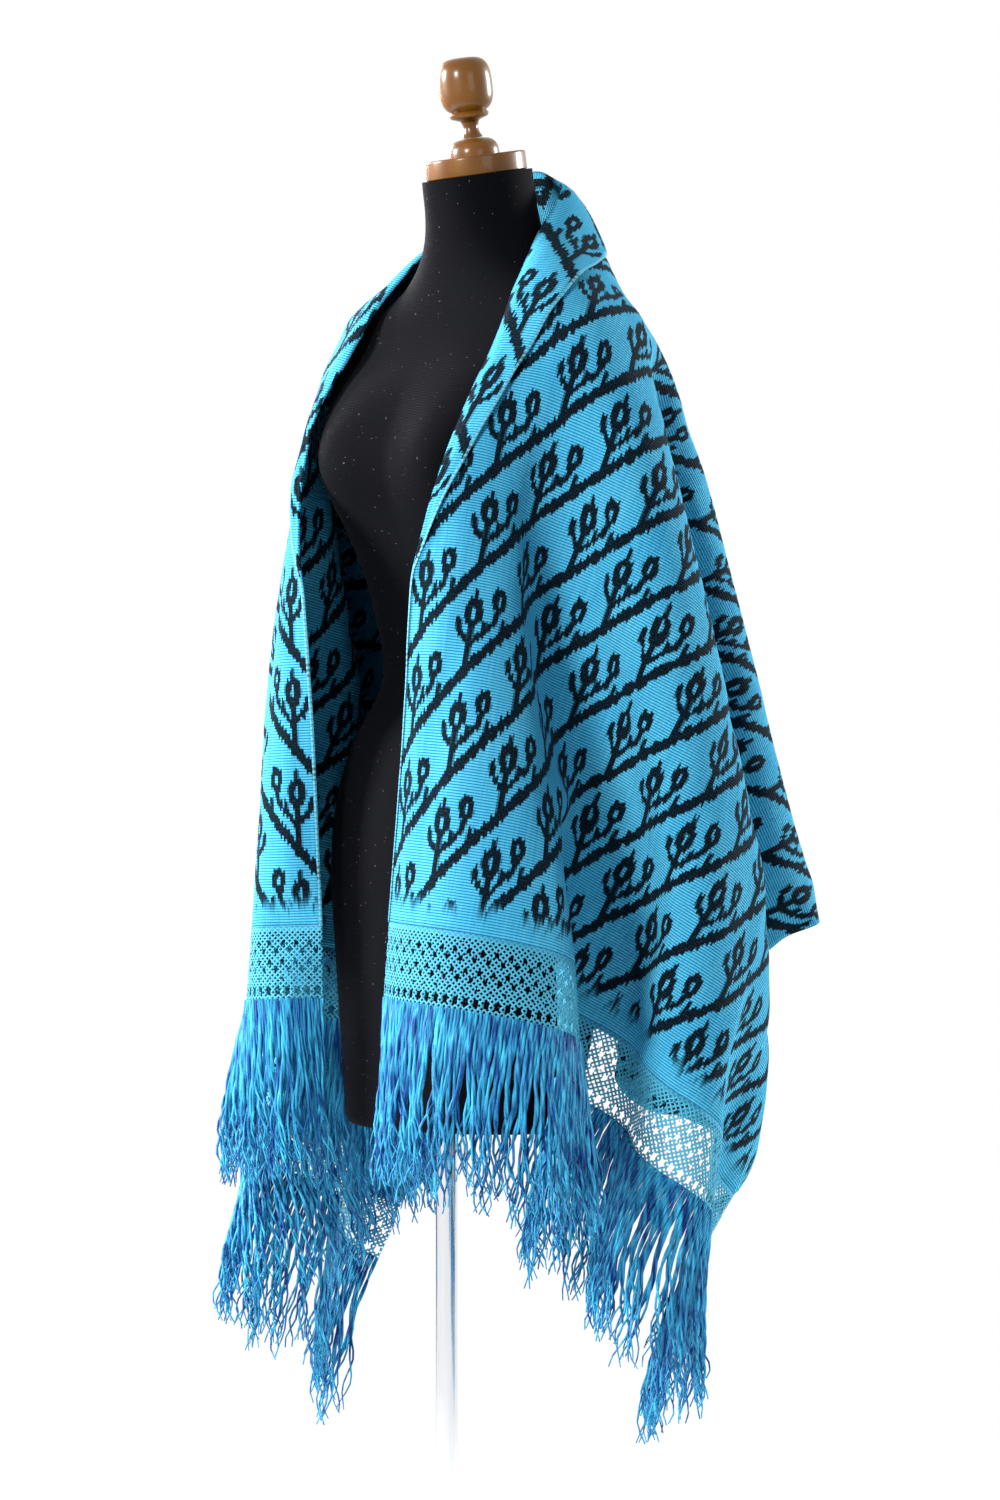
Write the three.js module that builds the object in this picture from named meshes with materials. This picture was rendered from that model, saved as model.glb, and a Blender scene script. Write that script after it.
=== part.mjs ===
import * as THREE from "three";

// A woven shawl with knotted net ends and a long fringe, draped over a limbless dress form on a stand.
// Millimetres, +Z up. The form faces -Y and its left side is +X. The origin is the middle of the base's underside.

// Cloth, flat sizes
const CLOTH_WIDTH = 750;
const WOVEN_HALF = 795;
const NET_DEPTH = 68;
const COLLAR_WIDTH = 60;
const COLLAR_FULL_TO = 120;
const COLLAR_ENDS_AT = 500;
const WALL = 2;
const SEAM = 0.3;
const CLEAR_OF_FORM = 11;

// Grid of the cloth: columns along the warp on each half, and steps across the width
const WOVEN_COLUMNS = 26;
const NET_COLUMNS = 2;
const ACROSS = 24;

// Net and fringe
const KNOTS = 80;
const GAP_WIDTH = 4.6;
const GAP_TOP = 13;
const GAP_FOOT = 6;
const ROOT_STRIP = 5;
const FRINGE_LENGTH = 158;
const STRAND_WIDTH = 4.4;
const STRAND_WAVE = 3;

// Dress form and stand
const TORSO_FOOT = 612;
const NECK_TOP = 1490;
const NECK_LEAN = 0.18;
const POLE_RADIUS = 10;
const BASE_RADIUS = 160;
const BASE_HEIGHT = 22;
const AROUND = 32;
const TORSO_STEP = 54;
const SHOULDER_FOOT = 1314;
const SHOULDER_STEP = 22;

// Torso sections: height, half width, middle, depth to the front and to the back
const TORSO = [
  { z: 612, half: 125, mid: 15, front: 85, back: 88 },
  { z: 700, half: 140, mid: 20, front: 88, back: 98 },
  { z: 800, half: 158, mid: 30, front: 98, back: 110 },
  { z: 850, half: 163, mid: 33, front: 102, back: 112 },
  { z: 910, half: 158, mid: 35, front: 100, back: 106 },
  { z: 965, half: 139, mid: 36, front: 90, back: 92 },
  { z: 1023, half: 110, mid: 38, front: 65, back: 72 },
  { z: 1090, half: 118, mid: 36, front: 70, back: 76 },
  { z: 1150, half: 132, mid: 32, front: 85, back: 86 },
  { z: 1210, half: 147, mid: 28, front: 98, back: 98 },
  { z: 1250, half: 162, mid: 28, front: 94, back: 116 },
  { z: 1290, half: 176, mid: 32, front: 82, back: 122 },
  { z: 1330, half: 176, mid: 44, front: 66, back: 110 },
  { z: 1360, half: 150, mid: 48, front: 60, back: 86 },
  { z: 1385, half: 100, mid: 50, front: 55, back: 66 },
  { z: 1410, half: 71, mid: 49, front: 53, back: 57 },
  { z: 1440, half: 56, mid: 46, front: 52, back: 53 },
  { z: 1490, half: 51, mid: 38, front: 51, back: 51 },
];
const BUST = { x: 82, z: 1222, out: 34, wide: 58, tall: 60 };

// Route of the folded upper edge, from the back of the neck down each front
const EDGE_LEFT = [
  { x: 0, y: 112, z: 1498 },
  { x: 54, y: 97, z: 1478 },
  { x: 75, y: 46, z: 1428 },
  { x: 95, y: -6, z: 1369 },
  { x: 100, y: -40, z: 1325 },
  { x: 106, y: -74, z: 1289 },
  { x: 109, y: -100, z: 1255 },
  { x: 112, y: -116, z: 1226 },
  { x: 110, y: -124, z: 1190 },
  { x: 107, y: -128, z: 1148 },
  { x: 103, y: -132, z: 1068 },
  { x: 100, y: -140, z: 963 },
  { x: 96, y: -148, z: 859 },
  { x: 92, y: -154, z: 775 },
  { x: 90, y: -158, z: 700 },
  { x: 89, y: -160, z: 600 },
];
const EDGE_RIGHT = [
  { x: 0, y: 112, z: 1498 },
  { x: -54, y: 97, z: 1478 },
  { x: -75, y: 46, z: 1428 },
  { x: -94, y: -4, z: 1369 },
  { x: -96, y: -36, z: 1325 },
  { x: -101, y: -62, z: 1289 },
  { x: -104, y: -86, z: 1255 },
  { x: -105, y: -98, z: 1226 },
  { x: -104, y: -96, z: 1190 },
  { x: -98, y: -95, z: 1148 },
  { x: -92, y: -92, z: 1068 },
  { x: -90, y: -88, z: 963 },
  { x: -90, y: -91, z: 859 },
  { x: -92, y: -94, z: 775 },
  { x: -94, y: -97, z: 700 },
  { x: -96, y: -99, z: 600 },
];

// Where the folds hang: u along the warp from the centre back, v across from the folded edge,
// the place there, and how strongly the cloth is led to it. A place without z is free to slide down.
const FOLDS_LEFT = [
  { u: 0, v: 750, x: 0, y: 262, z: 850, pull: 1 },
  { u: 120, v: 750, x: 125, y: 262, z: 858, pull: 0.5 },
  { u: 190, v: 750, x: 185, y: 238, z: 868, pull: 1 },
  { u: 340, v: 750, x: 165, y: 205, z: 800, pull: 0.8 },
  { u: 500, v: 750, x: 130, y: 190, z: 720, pull: 0.8 },
  { u: 650, v: 750, x: 95, y: 208, z: 640, pull: 0.8 },
  { u: 790, v: 750, x: 100, y: 215, z: 560, pull: 1 },
  { u: 260, v: 750, x: 150, y: 212, z: 836, pull: 0.8 },
  { u: 340, v: 600, x: 200, y: 190, z: 930, pull: 0.5 },
  { u: 790, v: 215, x: 240, y: -6, z: 748, pull: 1 },
  { u: 650, v: 215, x: 238, y: 0, pull: 0.8 },
  { u: 500, v: 210, x: 233, y: 0, pull: 0.6 },
  { u: 790, v: 320, x: 150, y: 45, z: 705, pull: 0.8 },
  { u: 650, v: 320, x: 150, y: 48, pull: 0.8 },
  { u: 500, v: 310, x: 170, y: 50, pull: 0.4 },
  { u: 790, v: 430, x: 224, y: 40, z: 650, pull: 0.8 },
  { u: 650, v: 420, x: 226, y: 45, pull: 0.8 },
  { u: 790, v: 575, x: 204, y: 155, z: 585, pull: 1 },
  { u: 650, v: 560, x: 206, y: 155, pull: 0.8 },
  { u: 790, v: 650, x: 160, y: 190, z: 572, pull: 0.8 },
  { u: 650, v: 650, x: 162, y: 190, pull: 0.8 },
  { u: 500, v: 540, x: 203, y: 160, pull: 0.6 },
];
const FOLDS_RIGHT = [
  { u: 120, v: 750, x: -125, y: 262, z: 858, pull: 0.5 },
  { u: 190, v: 750, x: -185, y: 238, z: 868, pull: 1 },
  { u: 340, v: 750, x: -170, y: 195, z: 800, pull: 0.8 },
  { u: 500, v: 750, x: -160, y: 150, z: 730, pull: 0.8 },
  { u: 650, v: 750, x: -190, y: 110, z: 660, pull: 0.6 },
  { u: 790, v: 750, x: -236, y: 116, z: 600, pull: 0.8 },
  { u: 340, v: 600, x: -200, y: 190, z: 930, pull: 0.5 },
  { u: 790, v: 45, x: -106, y: -86, z: 765, pull: 1 },
  { u: 650, v: 45, x: -114, y: -88, pull: 0.6 },
  { u: 790, v: 130, x: -150, y: -38, z: 770, pull: 1 },
  { u: 790, v: 205, x: -200, y: 18, z: 765, pull: 1 },
  { u: 650, v: 90, x: -138, y: -66, pull: 1 },
  { u: 520, v: 90, x: -134, y: -60, pull: 1 },
  { u: 650, v: 140, x: -154, y: -28, pull: 0.8 },
  { u: 650, v: 205, x: -198, y: 18, pull: 0.8 },
  { u: 500, v: 200, x: -206, y: 8, pull: 0.6 },
  { u: 790, v: 320, x: -150, y: 36, z: 730, pull: 0.8 },
  { u: 650, v: 320, x: -150, y: 40, pull: 0.8 },
  { u: 790, v: 460, x: -242, y: 44, z: 665, pull: 1 },
  { u: 650, v: 450, x: -238, y: 48, pull: 0.8 },
  { u: 790, v: 620, x: -160, y: 100, z: 625, pull: 0.8 },
];

// Settling of the cloth
const SETTLE = {
  steps: 260,
  passes: 10,
  weight: 0.42,
  keep: 0.96,
  shear: 0.5,
  bend: 0.06,
  grip: 0.3,
  lead: 0.1,
  edgeLead: 0.05,
  pinned: 220,
  apart: 24,
  mostMove: 20,
};

const clamp = (value, low, high) => Math.min(high, Math.max(low, value));

// Torso surface
const FIELDS = ["half", "mid", "front", "back"];

function slopeAt(rows, k, field) {
  const a = rows[Math.max(k - 1, 0)];
  const b = rows[Math.min(k + 1, rows.length - 1)];
  return (b[field] - a[field]) / (b.z - a.z);
}

function sectionAt(height) {
  const z = clamp(height, TORSO[0].z, TORSO[TORSO.length - 1].z);
  let k = 0;
  while (k < TORSO.length - 2 && z > TORSO[k + 1].z) k += 1;
  const a = TORSO[k];
  const b = TORSO[k + 1];
  const h = b.z - a.z;
  const t = (z - a.z) / h;
  const t2 = t * t;
  const t3 = t2 * t;
  const section = {};
  for (const field of FIELDS) {
    section[field] =
      (2 * t3 - 3 * t2 + 1) * a[field] +
      (t3 - 2 * t2 + t) * h * slopeAt(TORSO, k, field) +
      (3 * t2 - 2 * t3) * b[field] +
      (t3 - t2) * h * slopeAt(TORSO, k + 1, field);
  }
  return section;
}

function bustAt(x, z) {
  const across = (Math.abs(x) - BUST.x) / BUST.wide;
  const up = (z - BUST.z) / BUST.tall;
  return BUST.out * Math.exp(-across * across - up * up);
}

// 1 on the torso's surface, more outside it
function formLevel(x, y, z) {
  const s = sectionAt(z);
  const dy = y - s.mid;
  const depth = dy < 0 ? s.front + bustAt(x, z) : s.back;
  return Math.hypot(x / s.half, dy / depth);
}

// Flat plan of the cloth
function collarAt(u) {
  const t = clamp((Math.abs(u) - COLLAR_FULL_TO) / (COLLAR_ENDS_AT - COLLAR_FULL_TO), 0, 1);
  return COLLAR_WIDTH * (1 - t ** 1.1);
}

function warpStations() {
  const half = [];
  for (let k = 0; k <= WOVEN_COLUMNS; k += 1) half.push((WOVEN_HALF * k) / WOVEN_COLUMNS);
  for (let k = 1; k <= NET_COLUMNS; k += 1) half.push(WOVEN_HALF + (NET_DEPTH * k) / NET_COLUMNS);
  return [...half.slice(1).reverse().map((u) => -u), ...half];
}

const STATIONS = warpStations();
const COLUMNS = STATIONS.length;
const ROWS = ACROSS + 1;
const flat = [];
for (const u of STATIONS) {
  const fold = collarAt(u);
  for (let j = 0; j < ROWS; j += 1) flat.push({ u, v: fold + ((CLOTH_WIDTH - fold) * j) / ACROSS });
}
const at = (i, j) => i * ROWS + j;

// Places of the folded edge, by length along its route
function edgePlaces() {
  const routes = [EDGE_RIGHT, EDGE_LEFT].map((rows) => {
    const points = rows.map((p) => new THREE.Vector3(p.x, p.y, p.z));
    const curve = new THREE.CatmullRomCurve3(points, false, "catmullrom", 0.5);
    curve.arcLengthDivisions = 800;
    return curve;
  });
  return STATIONS.map((u) => {
    const curve = routes[u >= 0 ? 1 : 0];
    return curve.getPointAt(Math.abs(u) / curve.getLength());
  });
}

// The cloth before it settles: held out from its edge, back at the neck and sideways at the fronts
function heldOut(edges) {
  const x = new Float64Array(flat.length * 3);
  STATIONS.forEach((u, i) => {
    const a = Math.abs(u);
    const side = u >= 0 ? 1 : -1;
    const t = clamp(a / 340, 0, 1);
    const turn = (Math.PI / 2) * (1 - t) + 0.25 * t;
    const rise = -0.35 * (1 - t) + 0.25 * Math.sin(Math.PI * clamp(a / 800, 0, 1));
    const way = new THREE.Vector3(side * Math.cos(turn), Math.sin(turn), rise).normalize();
    for (let j = 0; j < ROWS; j += 1) {
      const reach = flat[at(i, j)].v - flat[at(i, 0)].v;
      const p = edges[i].clone().addScaledVector(way, reach);
      p.toArray(x, at(i, j) * 3);
    }
  });
  return x;
}

// Links between grid points, in groups that share no point
function linkGroups() {
  const groups = [];
  const link = (pairs, strength, onlyPush) => {
    const list = pairs.map(([a, b]) => {
      const rest = Math.hypot(flat[a].u - flat[b].u, flat[a].v - flat[b].v);
      return { a, b, rest };
    });
    groups.push({ list, strength, onlyPush });
  };
  const grid = (i0, iStep, j0, jStep, di, dj) => {
    const pairs = [];
    for (let i = i0; i + di < COLUMNS; i += iStep) {
      for (let j = j0; j + Math.abs(dj) < ROWS; j += jStep) {
        if (dj < 0) pairs.push([at(i, j - dj), at(i + di, j)]);
        else pairs.push([at(i, j), at(i + di, j + dj)]);
      }
    }
    return pairs;
  };
  for (const s of [0, 1]) {
    link(grid(s, 2, 0, 1, 1, 0), 1, false);
    link(grid(0, 1, s, 2, 0, 1), 1, false);
  }
  for (const si of [0, 1]) {
    for (const sj of [0, 1]) {
      link(grid(si, 2, sj, 2, 1, 1), SETTLE.shear, false);
      link(grid(si, 2, sj, 2, 1, -1), SETTLE.shear, false);
    }
  }
  for (const s of [0, 1, 2, 3]) {
    link(grid(s, 4, 0, 1, 2, 0), SETTLE.bend, true);
    link(grid(0, 1, s, 4, 0, 2), SETTLE.bend, true);
  }
  return groups;
}

function nearestColumn(u) {
  let best = 0;
  STATIONS.forEach((s, i) => {
    if (Math.abs(s - u) < Math.abs(STATIONS[best] - u)) best = i;
  });
  return best;
}

function nearestRow(i, v) {
  let best = 0;
  for (let j = 1; j < ROWS; j += 1) {
    if (Math.abs(flat[at(i, j)].v - v) < Math.abs(flat[at(i, best)].v - v)) best = j;
  }
  return best;
}

function foldLeads() {
  const sides = [
    { rows: FOLDS_LEFT, side: 1 },
    { rows: FOLDS_RIGHT, side: -1 },
  ];
  return sides.flatMap(({ rows, side }) =>
    rows.map((row) => {
      const i = nearestColumn(side * row.u);
      return { ...row, point: at(i, nearestRow(i, row.v)) };
    }),
  );
}

// Pushes one point out of the torso and holds it there by friction
function pushOut(x, before, k) {
  const [px, py, pz] = [x[k], x[k + 1], x[k + 2]];
  if (Math.abs(px) > 220 || Math.abs(py) > 200 || pz < 600) return;
  const level = formLevel(px, py, pz);
  if (level > 1.25) return;
  const e = 1;
  const gx = (formLevel(px + e, py, pz) - formLevel(px - e, py, pz)) / (2 * e);
  const gy = (formLevel(px, py + e, pz) - formLevel(px, py - e, pz)) / (2 * e);
  const gz = (formLevel(px, py, pz + e) - formLevel(px, py, pz - e)) / (2 * e);
  const size = Math.hypot(gx, gy, gz) + 1e-9;
  const gap = (level - 1) / size;
  if (gap >= CLEAR_OF_FORM) return;
  const step = Math.min(CLEAR_OF_FORM - gap, SETTLE.mostMove) / size;
  const out = [gx * step, gy * step, gz * step];
  for (let c = 0; c < 3; c += 1) {
    x[k + c] += out[c];
    x[k + c] -= (x[k + c] - before[k + c]) * SETTLE.grip;
  }
}

function closePairs(x) {
  const pairs = [];
  const near = SETTLE.apart * SETTLE.apart;
  for (let a = 0; a < flat.length; a += 1) {
    for (let b = a + 1; b < flat.length; b += 1) {
      const dz = x[a * 3 + 2] - x[b * 3 + 2];
      if (dz > SETTLE.apart || dz < -SETTLE.apart) continue;
      const dx = x[a * 3] - x[b * 3];
      const dy = x[a * 3 + 1] - x[b * 3 + 1];
      if (dx * dx + dy * dy + dz * dz >= near) continue;
      if (Math.hypot(flat[a].u - flat[b].u, flat[a].v - flat[b].v) > SETTLE.apart * 1.6) pairs.push([a, b]);
    }
  }
  return pairs;
}

function keepApart(x, held, pairs) {
  for (const [a, b] of pairs) {
    const d = [0, 1, 2].map((c) => x[b * 3 + c] - x[a * 3 + c]);
    const long = Math.hypot(...d) + 1e-6;
    const share = 0.25 * Math.min((long - SETTLE.apart) / long, 0);
    for (let c = 0; c < 3; c += 1) {
      if (!held[a]) x[a * 3 + c] += d[c] * share;
      if (!held[b]) x[b * 3 + c] -= d[c] * share;
    }
  }
}

function drawTogether(x, held, group) {
  for (const { a, b, rest } of group.list) {
    const free = (held[a] ? 0 : 1) + (held[b] ? 0 : 1);
    if (free === 0) continue;
    const dx = x[b * 3] - x[a * 3];
    const dy = x[b * 3 + 1] - x[a * 3 + 1];
    const dz = x[b * 3 + 2] - x[a * 3 + 2];
    const long = Math.sqrt(dx * dx + dy * dy + dz * dz) + 1e-9;
    let share = (long - rest) / long;
    if (group.onlyPush) share = Math.min(share, 0);
    share *= group.strength / free;
    if (!held[a]) {
      x[a * 3] += dx * share;
      x[a * 3 + 1] += dy * share;
      x[a * 3 + 2] += dz * share;
    }
    if (!held[b]) {
      x[b * 3] -= dx * share;
      x[b * 3 + 1] -= dy * share;
      x[b * 3 + 2] -= dz * share;
    }
  }
}

// Lets the cloth hang: its threads keep their length, it lies on the torso, and the folds are led to their places
function settle() {
  const edges = edgePlaces();
  const x = heldOut(edges);
  let before = x.slice();
  const held = new Array(flat.length).fill(false);
  STATIONS.forEach((u, i) => {
    held[at(i, 0)] = Math.abs(u) <= SETTLE.pinned;
  });
  const groups = linkGroups();
  const leads = foldLeads();
  let pairs = [];
  for (let step = 0; step < SETTLE.steps; step += 1) {
    const last = x.slice();
    for (let p = 0; p < flat.length; p += 1) {
      const k = p * 3;
      const move = [0, 1, 2].map((c) => (x[k + c] - before[k + c]) * SETTLE.keep);
      const scale = Math.min(1, SETTLE.mostMove / Math.max(Math.hypot(...move), 1e-9));
      for (let c = 0; c < 3; c += 1) x[k + c] += move[c] * scale;
      if (!held[p]) x[k + 2] -= SETTLE.weight;
    }
    before = last;
    STATIONS.forEach((u, i) => {
      const k = at(i, 0) * 3;
      const place = edges[i].toArray();
      const share = held[at(i, 0)] ? [1, 1, 1] : [SETTLE.edgeLead, SETTLE.edgeLead, SETTLE.edgeLead / 2];
      for (let c = 0; c < 3; c += 1) x[k + c] += (place[c] - x[k + c]) * share[c];
    });
    for (const lead of leads) {
      const k = lead.point * 3;
      const share = SETTLE.lead * lead.pull;
      x[k] += (lead.x - x[k]) * share;
      x[k + 1] += (lead.y - x[k + 1]) * share;
      if (lead.z !== undefined) x[k + 2] += (lead.z - x[k + 2]) * share;
    }
    if (step % 2 === 0) pairs = closePairs(x);
    for (let pass = 0; pass < SETTLE.passes; pass += 1) {
      for (const group of groups) drawTogether(x, held, group);
      if (pass % 3 === 2) {
        for (let p = 0; p < flat.length; p += 1) if (!held[p]) pushOut(x, before, p * 3);
        keepApart(x, held, pairs);
      }
    }
  }
  const points = [];
  for (let p = 0; p < flat.length; p += 1) points.push(new THREE.Vector3().fromArray(x, p * 3));
  return points;
}

const cloth = settle();

// Smooth surface through the settled grid, by station number and row number
function spline(a, b, c, d, t) {
  const out = new THREE.Vector3();
  for (const axis of ["x", "y", "z"]) {
    const [p, q, r, s] = [a[axis], b[axis], c[axis], d[axis]];
    out[axis] = 0.5 * (2 * q + (r - p) * t + (2 * p - 5 * q + 4 * r - s) * t * t + (3 * q - p - 3 * r + s) * t ** 3);
  }
  return out;
}

function onGrid(i, j) {
  if (i < 0) return onGrid(0, j).multiplyScalar(2).sub(onGrid(1, j));
  if (i >= COLUMNS) return onGrid(COLUMNS - 1, j).multiplyScalar(2).sub(onGrid(COLUMNS - 2, j));
  if (j < 0) return onGrid(i, 0).multiplyScalar(2).sub(onGrid(i, 1));
  if (j >= ROWS) return onGrid(i, ROWS - 1).multiplyScalar(2).sub(onGrid(i, ROWS - 2));
  return cloth[at(i, j)].clone();
}

function clothPoint(column, row) {
  const i = clamp(Math.floor(column), 0, COLUMNS - 2);
  const j = clamp(Math.floor(row), 0, ROWS - 2);
  const lines = [-1, 0, 1, 2].map((di) => {
    const p = [-1, 0, 1, 2].map((dj) => onGrid(i + di, j + dj));
    return spline(...p, row - j);
  });
  return spline(...lines, column - i);
}

// Normal on the side of the cloth that faces the wearer
function clothNormal(column, row) {
  const e = 0.02;
  const c0 = clamp(column - e, 0, COLUMNS - 1);
  const c1 = clamp(column + e, 0, COLUMNS - 1);
  const r0 = clamp(row - e, 0, ROWS - 1);
  const r1 = clamp(row + e, 0, ROWS - 1);
  const along = clothPoint(c1, row).sub(clothPoint(c0, row));
  const down = clothPoint(column, r1).sub(clothPoint(column, r0));
  return down.cross(along).normalize();
}

function columnOf(u) {
  let i = 0;
  while (i < COLUMNS - 2 && STATIONS[i + 1] < u) i += 1;
  return i + (u - STATIONS[i]) / (STATIONS[i + 1] - STATIONS[i]);
}

function rowOf(u, v) {
  const fold = collarAt(u);
  return ((v - fold) / (CLOTH_WIDTH - fold)) * ACROSS;
}

// Closed mesh from corner places and triangles of corner numbers
function meshOf(points, faces) {
  const geometry = new THREE.BufferGeometry();
  geometry.setAttribute("position", new THREE.Float32BufferAttribute(points.flatMap((p) => p.toArray()), 3));
  geometry.setIndex(faces.flat());
  return geometry;
}

// Triangles between two neighbouring lines of corners, which may hold different numbers of them
function zip(upper, lower, first, second, faces) {
  let i = 0;
  let j = 0;
  while (i < upper.length - 1 || j < lower.length - 1) {
    const advanceUpper = j === lower.length - 1 || (i < upper.length - 1 && upper[i + 1] <= lower[j + 1]);
    if (advanceUpper) {
      faces.push([first + i, first + i + 1, second + j]);
      i += 1;
    } else {
      faces.push([first + i, second + j + 1, second + j]);
      j += 1;
    }
  }
}

// A sheet of triangles from lines of corners; gaps leaves out every second quad between two lines
function sheetOf(lines) {
  const starts = [];
  let count = 0;
  for (const line of lines) {
    starts.push(count);
    count += line.rows.length;
  }
  const faces = [];
  for (let k = 0; k + 1 < lines.length; k += 1) {
    const [upper, lower] = [lines[k], lines[k + 1]];
    if (!upper.gapsBelow) {
      zip(upper.rows, lower.rows, starts[k], starts[k + 1], faces);
      continue;
    }
    for (let j = 0; j + 1 < upper.rows.length; j += 2) {
      const [a, b] = [starts[k] + j, starts[k + 1] + j];
      faces.push([a, a + 1, b + 1], [a, b + 1, b]);
    }
  }
  return { faces, count, starts };
}

// Gives a sheet its thickness, with a rim round every open edge but the ones left to the strands
function thicken(lines, outer, inner, strandsOf) {
  const { faces, count, starts } = sheetOf(lines);
  const points = [];
  for (const offset of [outer, inner]) {
    for (const line of lines) {
      for (const row of line.rows) points.push(line.place(row, offset));
    }
  }
  const solid = [];
  const edges = new Set();
  for (const [a, b, c] of faces) {
    solid.push([a, b, c], [count + a, count + c, count + b]);
    edges.add(`${a} ${b}`).add(`${b} ${c}`).add(`${c} ${a}`);
  }
  const left = strandsOf ? strandsOf(points, solid, starts, count) : new Set();
  for (const edge of edges) {
    const [a, b] = edge.split(" ").map(Number);
    if (edges.has(`${b} ${a}`) || left.has(edge) || left.has(`${b} ${a}`)) continue;
    if (a < b) solid.push([b, a, count + a], [b, count + a, count + b]);
    else solid.push([b, a, count + b], [a, count + a, count + b]);
  }
  return meshOf(points, solid);
}

const allRows = Array.from({ length: ROWS }, (_, j) => j);
const raised = (column, row, offset) => clothPoint(column, row).addScaledVector(clothNormal(column, row), offset);

// A place on a seam line, moved along the warp by half of the gap
function onSeam(column, row, offset, shift) {
  const e = 0.02;
  const along = clothPoint(Math.min(column + e, COLUMNS - 1), row).sub(clothPoint(Math.max(column - e, 0), row));
  return raised(column, row, offset).addScaledVector(along.normalize(), shift);
}

const finish = (color, roughness, metalness = 0) => new THREE.MeshStandardMaterial({ color, roughness, metalness });
const CLOTH = finish(0x3fb3cf, 0.75);
const NET = finish(0x49b9d6, 0.7);
const FRINGE = finish(0x1583c2, 0.55);
const JERSEY = finish(0x17171c, 0.85);
const WOOD = finish(0x96600f, 0.3);
const STEEL = finish(0xb9bcc0, 0.2, 1);

const part = new THREE.Group();
function add(name, geometry, material) {
  const mesh = new THREE.Mesh(geometry, material);
  mesh.name = name;
  part.add(mesh);
  return mesh;
}

// Woven stretches, parted over the shoulders and at the nets
const SHOULDER = 14;
const CENTRE = (COLUMNS - 1) / 2;
const NET_RIGHT_SEAM = NET_COLUMNS;
const NET_LEFT_SEAM = COLUMNS - 1 - NET_COLUMNS;
const STRETCHES = [
  { name: "shawl_right", from: NET_RIGHT_SEAM, to: CENTRE - SHOULDER },
  { name: "shawl_back", from: CENTRE - SHOULDER, to: CENTRE + SHOULDER },
  { name: "shawl_left", from: CENTRE + SHOULDER, to: NET_LEFT_SEAM },
];
for (const { name, from, to } of STRETCHES) {
  const lines = [];
  for (let i = from; i <= to; i += 1) {
    const shift = i === from ? SEAM / 2 : i === to ? -SEAM / 2 : 0;
    lines.push({ rows: allRows, place: (row, offset) => onSeam(i, row, offset, shift) });
  }
  add(name, thicken(lines, WALL / 2, -WALL / 2), CLOTH);
}

// Collar: the upper selvedge folded outward over the cloth, parted at the sides of the neck
const COLLAR_STEPS = 3;
const COLLAR_LIFT = 4.5;
const COLLAR_LEAST = 8;
const NECK_SIDE = 5;
const collarRows = Array.from({ length: COLLAR_STEPS + 1 }, (_, k) => k / COLLAR_STEPS);
const collarEnd = STATIONS.filter((u) => u > 0 && collarAt(u) > COLLAR_LEAST).length;
const COLLARS = [
  { name: "collar_right", from: CENTRE - collarEnd, to: CENTRE - NECK_SIDE },
  { name: "collar_back", from: CENTRE - NECK_SIDE, to: CENTRE + NECK_SIDE },
  { name: "collar_left", from: CENTRE + NECK_SIDE, to: CENTRE + collarEnd },
];
for (const { name, from, to } of COLLARS) {
  const lines = [];
  for (let i = from; i <= to; i += 1) {
    const shift = i === from ? SEAM / 2 : i === to ? -SEAM / 2 : 0;
    const fold = collarAt(STATIONS[i]);
    const place = (share, offset) => onSeam(i, rowOf(STATIONS[i], fold * (1 + share)), offset, shift);
    lines.push({ rows: collarRows, place });
  }
  add(name, thicken(lines, -COLLAR_LIFT, -COLLAR_LIFT - WALL), CLOTH);
}

// Net bands: an even knotted mesh, with a row of larger gaps between the knots at its foot
const PITCH = ACROSS / KNOTS;
const GAP_SHARE = (GAP_WIDTH * KNOTS) / CLOTH_WIDTH;
const knotRows = [0];
for (let k = 0; k < KNOTS; k += 1) {
  knotRows.push((k + 0.5 - GAP_SHARE / 2) * PITCH, (k + 0.5 + GAP_SHARE / 2) * PITCH);
}
knotRows.push(ACROSS);
const HEMS = [
  { side: "left", sign: 1 },
  { side: "right", sign: -1 },
];
const hemColumn = (sign, u) => columnOf(sign * u);
for (const { side, sign } of HEMS) {
  const hem = WOVEN_HALF + NET_DEPTH;
  const lines = [
    { u: WOVEN_HALF, rows: allRows, shift: (sign * SEAM) / 2 },
    { u: WOVEN_HALF + NET_DEPTH / 2, rows: allRows },
    { u: hem - GAP_TOP, rows: knotRows, gapsBelow: true },
    { u: hem - GAP_FOOT, rows: knotRows },
    { u: hem, rows: allRows },
  ].map((line) => ({
    ...line,
    place: (row, offset) => onSeam(hemColumn(sign, line.u), row, offset, line.shift ?? 0),
  }));
  if (sign < 0) lines.reverse().forEach((line, k) => (line.gapsBelow = k === 1));
  add(`net_${side}`, thicken(lines, WALL / 2, -WALL / 2), NET);
}

// Fringe: strands rooted in a narrow strip just below each net, falling and waving a little
function belowHem(sign, row, drop, offset) {
  const end = sign > 0 ? COLUMNS - 1 : 0;
  const p = clothPoint(end, row);
  const way = p.clone().sub(clothPoint(end - sign * 0.4, row)).normalize();
  return raised(end, row, offset).addScaledVector(way, drop);
}

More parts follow.
